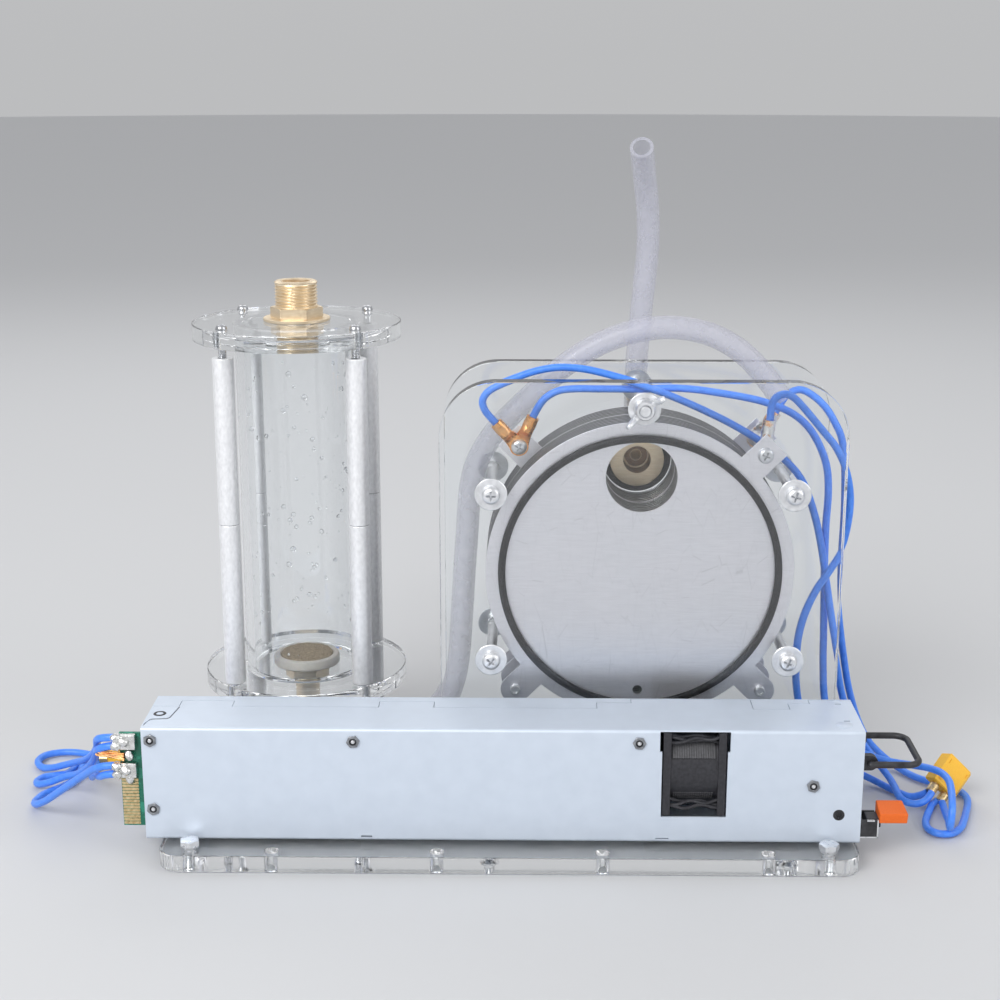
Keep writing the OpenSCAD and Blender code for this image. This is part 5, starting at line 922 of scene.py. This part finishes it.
EAR_STUD = [(2.5, 0.0), (2.5, 2.3), (2.2, 2.6), (1.55, 2.6), (1.4, 2.4), (1.4, 1.2), (0.3, 1.2)]
set_out("ear_studs", screw("ear_stud", EAR_STUD, 4.0, 6.8, 5.8),
        [((x, -14.8, z), (90, 0, 0)) for x, z in (LEFT_EAR, RIGHT_EAR)], white_zinc, "steel_fastener")
terminal_nut = bmesh.new()
hexagon(terminal_nut, 7.0, 0.0, 3.0, 1.95)
NUT_SEATS = [(LEFT_TAB, 4.2), (RIGHT_TAB, -13.0), (RIGHT_TAB, 22.2), (LEFT_EAR, -13.8), (RIGHT_EAR, -13.8)]
set_out("terminal_hex_nuts", made_piece("terminal_nut", terminal_nut),
        [((x, y, z), (-90, 13 * k, 0)) for k, ((x, z), y) in enumerate(NUT_SEATS)], white_zinc,
        "steel_fastener", "terminal_nuts")

tinned_copper = finish_of("tinned_copper", (0.84, 0.48, 0.27), (0.86, 0.85, 0.83), (0.18, 0.38), 210, 0.2,
                          metal=1.0)
tinned_tint = tinned_copper.node_tree.nodes["tint"]
tinned_tint.color_ramp.elements[0].position = 0.42
tinned_tint.color_ramp.elements[1].position = 0.54


LUG_SHEET, LUG_BARREL = 0.8, 3.0
# Height above the eye, half width, half depth, share of the way to the barrel's middle, and squareness.
LUG_SECTIONS = ((2.4, 3.9, 0.38, 0, 6), (4.4, 3.5, 0.4, 0, 6), (5.8, 3.3, 0.75, 0.12, 4), (7.2, 3.1, 1.9, 0.58, 2.6),
                (8.6, 3.0, 3.0, 1, 2), (10.2, 3.0, 3.0, 1, 2), (11.0, 3.1, 2.6, 1, 2.2), (12.8, 3.1, 2.6, 1, 2.2),
                (13.6, 3.0, 3.0, 1, 2), (15.8, 3.0, 3.0, 1, 2), (16.0, 2.8, 2.8, 1, 2), (16.0, 2.3, 2.3, 1, 2),
                (10.1, 2.2, 2.2, 1, 2))


def ring_lug(bm, seat, y, side, lean, finish_slot):
    """Crimped ring lug on a terminal, leaning from upright, its barrel in front or behind."""
    place = stood((seat[0], y, seat[1]), (lean, "Y"))
    middle = LUG_SHEET / 2
    barrel = LUG_BARREL if side > 0 else LUG_SHEET - LUG_BARREL
    turned(bm, [(2.15, 0.0), (4.4, 0.0), (4.5, 0.12), (4.5, 0.68), (4.4, 0.8), (2.15, 0.8)], 40,
           stood((seat[0], y, seat[1]), (lean, "Y"), (-90, "X")), closed=True, finish_slot=finish_slot)
    loft(bm, [[place @ Vector((across, middle + share * (barrel - middle) + deep, height))
               for across, deep in squared_oval(half_w, half_t, 2 / square, 24)]
              for height, half_w, half_t, share, square in LUG_SECTIONS], finish_slot=finish_slot)


lugs = bmesh.new()
ring_lug(lugs, LEFT_TAB, 1.5, -1, -42.5, 0)
ring_lug(lugs, LEFT_TAB, 2.4, -1, 24.0, 0)
ring_lug(lugs, RIGHT_TAB, -13.8, 1, 6.0, 1)
ring_lug(lugs, RIGHT_TAB, 20.4, -1, 32.5, 1)
fitted(made_piece("crimped_lugs", lugs, bare_copper, tinned_copper), "stand", "copper_lug", "cable_lugs")


# Two-pin connectors. Each is a moulded yellow nylon body with two gold-plated contacts.
# The leads are soldered into the contacts' cups, which stand out of the body's back.
yellow_nylon = finish_of("yellow_nylon", (0.93, 0.49, 0.025), (0.98, 0.55, 0.04), (0.36, 0.48), 1600, 0.05,
                         more={"Subsurface Weight": 0.12, "Subsurface Radius": (0.002, 0.001, 0.0004)})
CONNECTOR_WIDTH, CONNECTOR_DEPTH, CONNECTOR_CUT, CONTACT_PITCH = 16.0, 8.0, 2.0, 7.2


def connector(name, node, place):
    """Connector body with its keyed end, slits and contacts, standing at the face of its cups."""
    bm = bmesh.new()
    half_w, half_d, cut = CONNECTOR_WIDTH / 2, CONNECTOR_DEPTH / 2, CONNECTOR_CUT
    outline = [(-half_w, -half_d), (half_w - cut, -half_d), (half_w, cut - half_d),
               (half_w, half_d - cut), (half_w - cut, half_d), (-half_w, half_d)]

    def level(height, inset):
        shrink_x, shrink_y = 1 - inset / half_w, 1 - inset / half_d
        return [place @ Vector((x * shrink_x, y * shrink_y, height)) for x, y in outline]

    loft(bm, [level(0.0, 0.5), level(0.5, 0.0), level(15.5, 0.0), level(16.0, 0.5)])
    body = made_piece(name, bm, yellow_nylon)
    slits = bmesh.new()
    for side in (-1, 1):
        for x, z, long_x, long_z in ((-5.6, 2.0, 1.1, 0.25), (4.6, 2.0, 1.1, 0.25), (-6.2, 12.4, 0.25, 1.1),
                                     (5.2, 12.4, 0.25, 1.1)):
            slit = [(x - long_x, z - long_z), (x + long_x, z - long_z), (x + long_x, z + long_z),
                    (x - long_x, z + long_z)]
            loft(slits, [[place @ Vector((u, side * (half_d - 0.45), w)) for u, w in slit],
                         [place @ Vector((u, side * (half_d + 0.5), w)) for u, w in slit]])
    stands = [place @ stood((side * CONTACT_PITCH / 2, 0, 0)) for side in (-1, 1)]
    for stand in stands:
        turned(slits, [(1.8, 6.0), (1.8, 17.0)], 24, stand)
    cut_away(body, made_piece("slit_cutter", slits))
    fitted(body, "stand", "yellow_plastic", node)
    pins = bmesh.new()
    for stand in stands:
        turned(pins, [(2.1, 0.6), (2.1, -0.4), (2.5, -0.7), (2.5, -4.7), (2.3, -5.0), (1.9, -5.0), (1.9, -1.2)],
               24, stand)
        turned(pins, [(1.85, -1.3), (1.85, -4.0), (1.6, -4.7), (1.1, -5.3), (0.5, -5.6)], 20, stand, finish_slot=1)
        turned(pins, [(1.72, 6.2), (1.72, 15.2), (1.5, 15.4), (1.4, 15.2), (1.4, 7.0)], 24, stand)
    contacts = fitted(made_piece(name + "_contacts", pins, gold_plate, tin_solder), "stand", "solder")
    return [body, contacts]


cell_plug = connector("cell_plug", "cell_connector", stood((208.8, -12.8, 7.7), (45, "Y"), (-30, "X")))
supply_plug = connector("supply_plug", "supply_connector", stood((-205, 30, 4), (90, "Z"), (90, "X")))


# Blue leads. Stranded copper in a soft silicone sleeve, four from the cell's lugs and four from the supply.
# Each lies where its own weight puts it and ends in a solder cup of its connector.
LEAD_DIAMETER = 3.5
blue_silicone = finish_of("blue_silicone", (0.055, 0.235, 0.90), (0.085, 0.30, 0.98), (0.34, 0.5), 420, 0.04,
                          more={"Coat Weight": 0.15, "Coat Roughness": 0.3})


def smooth_line(route, steps=6):
    """Points in metres along the smooth curve through a route given in millimetres."""
    line = []
    last = len(route) - 1
    for k in range(last):
        a, b = Vector(route[max(k - 1, 0)]), Vector(route[k])
        c, d = Vector(route[k + 1]), Vector(route[min(k + 2, last)])
        for s in range(steps):
            t = s / steps
            line.append(0.5 * MM * (2 * b + (c - a) * t + (2 * a - 5 * b + 4 * c - d) * t ** 2
                                    + (3 * b - a - 3 * c + d) * t ** 3))
    line.append(Vector(route[last]) * MM)
    return line


def lay_lead(name, node, route):
    """One lead as a round sleeve along its route, from its lug or tab to its connector."""
    line = smooth_line(route)
    curve = bpy.data.curves.new(name, "CURVE")
    curve.dimensions = "3D"
    curve.bevel_depth = LEAD_DIAMETER / 2 * MM
    curve.bevel_resolution = 4
    curve.use_fill_caps = True
    spline = curve.splines.new("POLY")
    spline.points.add(len(line) - 1)
    for point, place in zip(spline.points, line):
        point.co = (*place, 1)
    spline.use_smooth = True
    curve.materials.append(blue_silicone)
    lead = bpy.data.objects.new(name, curve)
    scene.collection.objects.link(lead)
    fitted(lead, "stand", "blue_silicone", node)


lay_lead("blue_lead_1", "cell_lead_1", [
    (-3.2, -0.6, 182.3), (-8.5, -0.6, 188), (-12, -0.8, 192.5), (-13, -1, 197), (-10.5, -1.3, 201.2),
    (-5, -1.6, 204.5), (3, -2, 207.8), (12, -2, 210.8), (22, -2.5, 212.5), (33, -3, 212), (43, -3.5, 210),
    (54, -4, 207), (63, -4, 204), (74, -4, 200), (89, -4, 193.5), (104, -4, 186), (117, -4, 178),
    (127.5, -4, 170), (136, -4, 160), (142, -4, 145), (146, -4, 129), (149, -4, 112), (153, -3, 90),
    (158, 0, 66), (162, 4, 50), (167, 8, 36), (172.5, 11, 25), (179, 11.5, 16), (183.6, 6.4, 10.8),
    (186.4, -2, 8.4), (187.6, -9.5, 6.8), (188, -16, 5.6), (190.1, -20.9, 4.8), (195, -23, 4.5),
    (199.9, -20.9, 5.4), (203.6, -17.2, 7.8)])
lay_lead("blue_lead_2", "cell_lead_2", [
    (8.2, 0.2, 184.2), (11.3, 0.2, 191), (15.5, 0.1, 197.5), (22, 0, 201.5), (30, 0, 202.5),
    (40, 0, 202.5), (50, 0, 202.5), (62, 0, 202.5), (73, 0, 203), (84, 0, 202.5), (95, 0, 201),
    (107, 0, 199), (116, 0, 197), (125, 0, 194), (132.5, 0, 190), (139, 0, 184), (144.5, 0, 175),
    (148, 0, 165), (149, 0, 153), (148.5, 0, 138), (148.5, 0, 122), (149, 0.5, 104), (149.5, 1, 86),
    (150, 2, 68), (151.5, 3, 50), (155.5, 4, 36), (163, 3.5, 26), (173, 1, 20.5), (184, -4, 18.5),
    (194, -10, 19), (201, -17, 20.5), (205.5, -24, 21.2), (207.3, -32, 20.8), (206.5, -41, 19.8),
    (204.8, -50, 18.8), (203.8, -55, 16.9), (203.2, -57, 12.3), (203.5, -55, 7.7), (204.5, -50, 5.8),
    (206, -42, 5), (207.3, -33.5, 3), (208.3, -25, 2.1), (208.9, -17.5, 2.6)])
lay_lead("blue_lead_3", "cell_lead_3", [
    (118.2, -10.8, 185), (118.9, -11, 191), (119.3, -11, 196.5), (121.1, -11, 200.7), (125.3, -11, 202.5),
    (129.5, -11, 200.7), (134, -11, 196.2), (139, -11, 190.5), (144.5, -11, 184), (149.5, -11, 178),
    (153.5, -11, 170.5), (156.5, -11, 162), (158, -11, 152), (157.5, -11, 141), (155, -11, 129),
    (149, -11, 118), (143.5, -11, 109), (139, -11, 98), (136.5, -10.5, 86), (136, -10, 74),
    (136.5, -9.5, 62), (138.5, -9, 50), (142, -7, 38), (147.5, -3, 27), (155, 2.5, 18), (164, 7.5, 11),
    (173, 10, 6), (180.5, 8, 3), (186, 2, 2), (190.5, -4.5, 2), (195.2, -9.2, 2), (199.2, -11.8, 3.8),
    (202.4, -13.8, 6.4)])
lay_lead("blue_lead_4", "cell_lead_4", [
    (122.7, 18.2, 183.4), (127, 18.5, 190.3), (131, 19.3, 196.2), (137, 20, 198.5), (143.5, 20, 195.5),
    (149.5, 19, 190), (154, 18, 183), (157.5, 17, 175), (159, 16, 163), (159.5, 16, 150),
    (159.5, 16, 137), (159, 16, 122), (159, 16, 106), (160, 16, 92), (162, 16, 78), (164.5, 17, 64),
    (167.5, 19, 50), (171.5, 23, 37), (176, 27.5, 25.5), (181.5, 31, 15), (188, 32, 7.5), (194, 28.5, 3.2),
    (198.5, 21.5, 2), (202.5, 14.5, 2), (208, 9, 2), (214.5, 4.5, 2), (220, -1, 2), (222.5, -9, 2),
    (221, -18, 2), (218, -27, 2), (214.8, -36, 2), (211.2, -44, 2), (206, -49.5, 2), (200, -50, 2),
    (196.2, -45.5, 2), (196.2, -38.5, 2), (198.6, -31, 2), (201.4, -24, 2), (203.8, -18.2, 2),
    (207.3, -13.9, 2)])
lay_lead("blue_supply_lead_1", "supply_lead_1", [
    (-176.3, -72.5, 57), (-179.3, -72.4, 56.9), (-182.8, -70.9, 56), (-185.6, -66.8, 53.6),
    (-188, -59, 49), (-192, -45, 40.5), (-198.5, -29, 30), (-206, -14, 21), (-214.5, 0, 13.5),
    (-223, 9, 8), (-231, 14.5, 4), (-237.8, 19.5, 2), (-242, 27, 2), (-240, 34.8, 2), (-233, 38.5, 2),
    (-225, 38.5, 2), (-217, 36, 2), (-210.3, 34.6, 2.2)])
lay_lead("blue_supply_lead_2", "supply_lead_2", [
    (-176.3, -72.5, 53), (-179.3, -72.4, 52.8), (-182.8, -71.2, 51.5), (-185.8, -67.6, 48.7),
    (-188.6, -60, 43.8), (-193, -48, 35.5), (-201, -31, 24), (-209.5, -17.5, 15), (-218, -10, 10),
    (-227, -6.6, 5.4), (-233.5, -2.7, 2.8), (-235.6, 2.3, 2), (-233.5, 7.3, 2), (-228.6, 9.3, 2),
    (-223.7, 11.3, 2), (-221.6, 16.3, 2), (-220.6, 21, 2), (-219, 25.5, 2), (-216.5, 29.5, 2.6),
    (-213.8, 31.4, 4), (-210.3, 32.6, 5.8)])
lay_lead("blue_supply_lead_3", "supply_lead_3", [
    (-176.3, -72.5, 43.5), (-179.3, -72.5, 43.4), (-183.2, -71.5, 42.5), (-188.2, -67.6, 39.4),
    (-195.5, -59.5, 32.5), (-204, -51, 24.5), (-212.5, -43, 16.5), (-220, -36, 9.5), (-226.5, -29.5, 4.5),
    (-230, -22, 2), (-228.5, -14, 2), (-224, -7.5, 2), (-219.5, -1, 2), (-216.8, 7, 2), (-216.8, 15, 2.8),
    (-215.8, 21.5, 4.6), (-210.3, 26.4, 5.8)])
lay_lead("blue_supply_lead_4", "supply_lead_4", [
    (-176.3, -72.5, 39.5), (-179.3, -72.3, 39.2), (-182.7, -70.6, 37.9), (-185.4, -66.4, 35.5),
    (-188.4, -58.5, 32.2), (-193, -47, 28), (-198, -33, 20.5), (-202, -19, 14), (-205.5, -6, 9),
    (-208.5, 6, 5), (-210.5, 15, 2.8), (-211.3, 21.5, 2.1), (-210.3, 26.4, 2.2)])


# Hoses. Clear PVC, 8 mm inside and 11 mm outside, pushed over the ridged brass tails.
# One stands up from the cell's gas outlet, and one comes from the bubbler and arches over the cell.
HOSE_OUTER, HOSE_INNER, HOSE_SIDES = 5.5, 4.0, 28
clear_pvc = finish_of("clear_pvc", (0.58, 0.585, 0.68), (0.63, 0.635, 0.72), (0.18, 0.3), 160, 0.0,
                      more={"Alpha": 0.36})
pvc_bore = finish_of("pvc_bore", (0.64, 0.645, 0.72), (0.69, 0.695, 0.76), (0.24, 0.36), 160, 0.0,
                     more={"Alpha": 0.12})


def lay_hose(name, node, route):
    """One hose with its wall and bore, its rings carried along the route without twist."""
    line = smooth_line(route, 4)
    points = [place / MM for place in line]
    bm = bmesh.new()
    outer = rod_along(points, HOSE_OUTER, HOSE_SIDES)
    inner = rod_along(points, HOSE_INNER, HOSE_SIDES)
    skin = loft(bm, outer + list(reversed(inner)), closed=True)
    for face in skin[len(outer) * HOSE_SIDES:-HOSE_SIDES]:
        face.material_index = 1
    hose = made_piece(name, bm, clear_pvc, pvc_bore, sharp=50)
    fitted(hose, "stand", "clear_hose", node)


lay_hose("gas_hose", "outlet_hose", [
    (60.5, 46, 176.5), (60.5, 46, 190), (61, 46.8, 203), (62, 48, 217), (63.2, 49, 232), (64.6, 49.4, 247),
    (65.6, 48.6, 261), (65.4, 46, 274), (64.2, 41.4, 286), (62.4, 34.6, 297), (60.8, 26, 306), (59.8, 19.5, 311)])
lay_hose("bubbler_hose", "feed_hose", [
    (-91.5, 32, 20), (-80, 32, 20), (-68.5, 31, 20.5), (-58, 28.5, 22.5), (-48, 24, 27), (-39, 19, 34.5),
    (-32, 14.5, 44.5), (-27.5, 12, 56), (-25.2, 11, 69), (-24.2, 11, 82), (-23.3, 11, 96), (-22.3, 11, 112),
    (-21, 11, 130), (-20, 11, 145), (-18.6, 11, 156), (-15.2, 11, 167), (-7.6, 11, 179.3), (3.4, 11, 191.2),
    (15.6, 11, 202.8), (28, 11, 213), (42, 11, 221.5), (59, 11, 227.5), (77, 11, 229), (94, 11, 225.5),
    (108, 11, 217.5), (119, 11, 206.5), (127, 11, 195.5)])
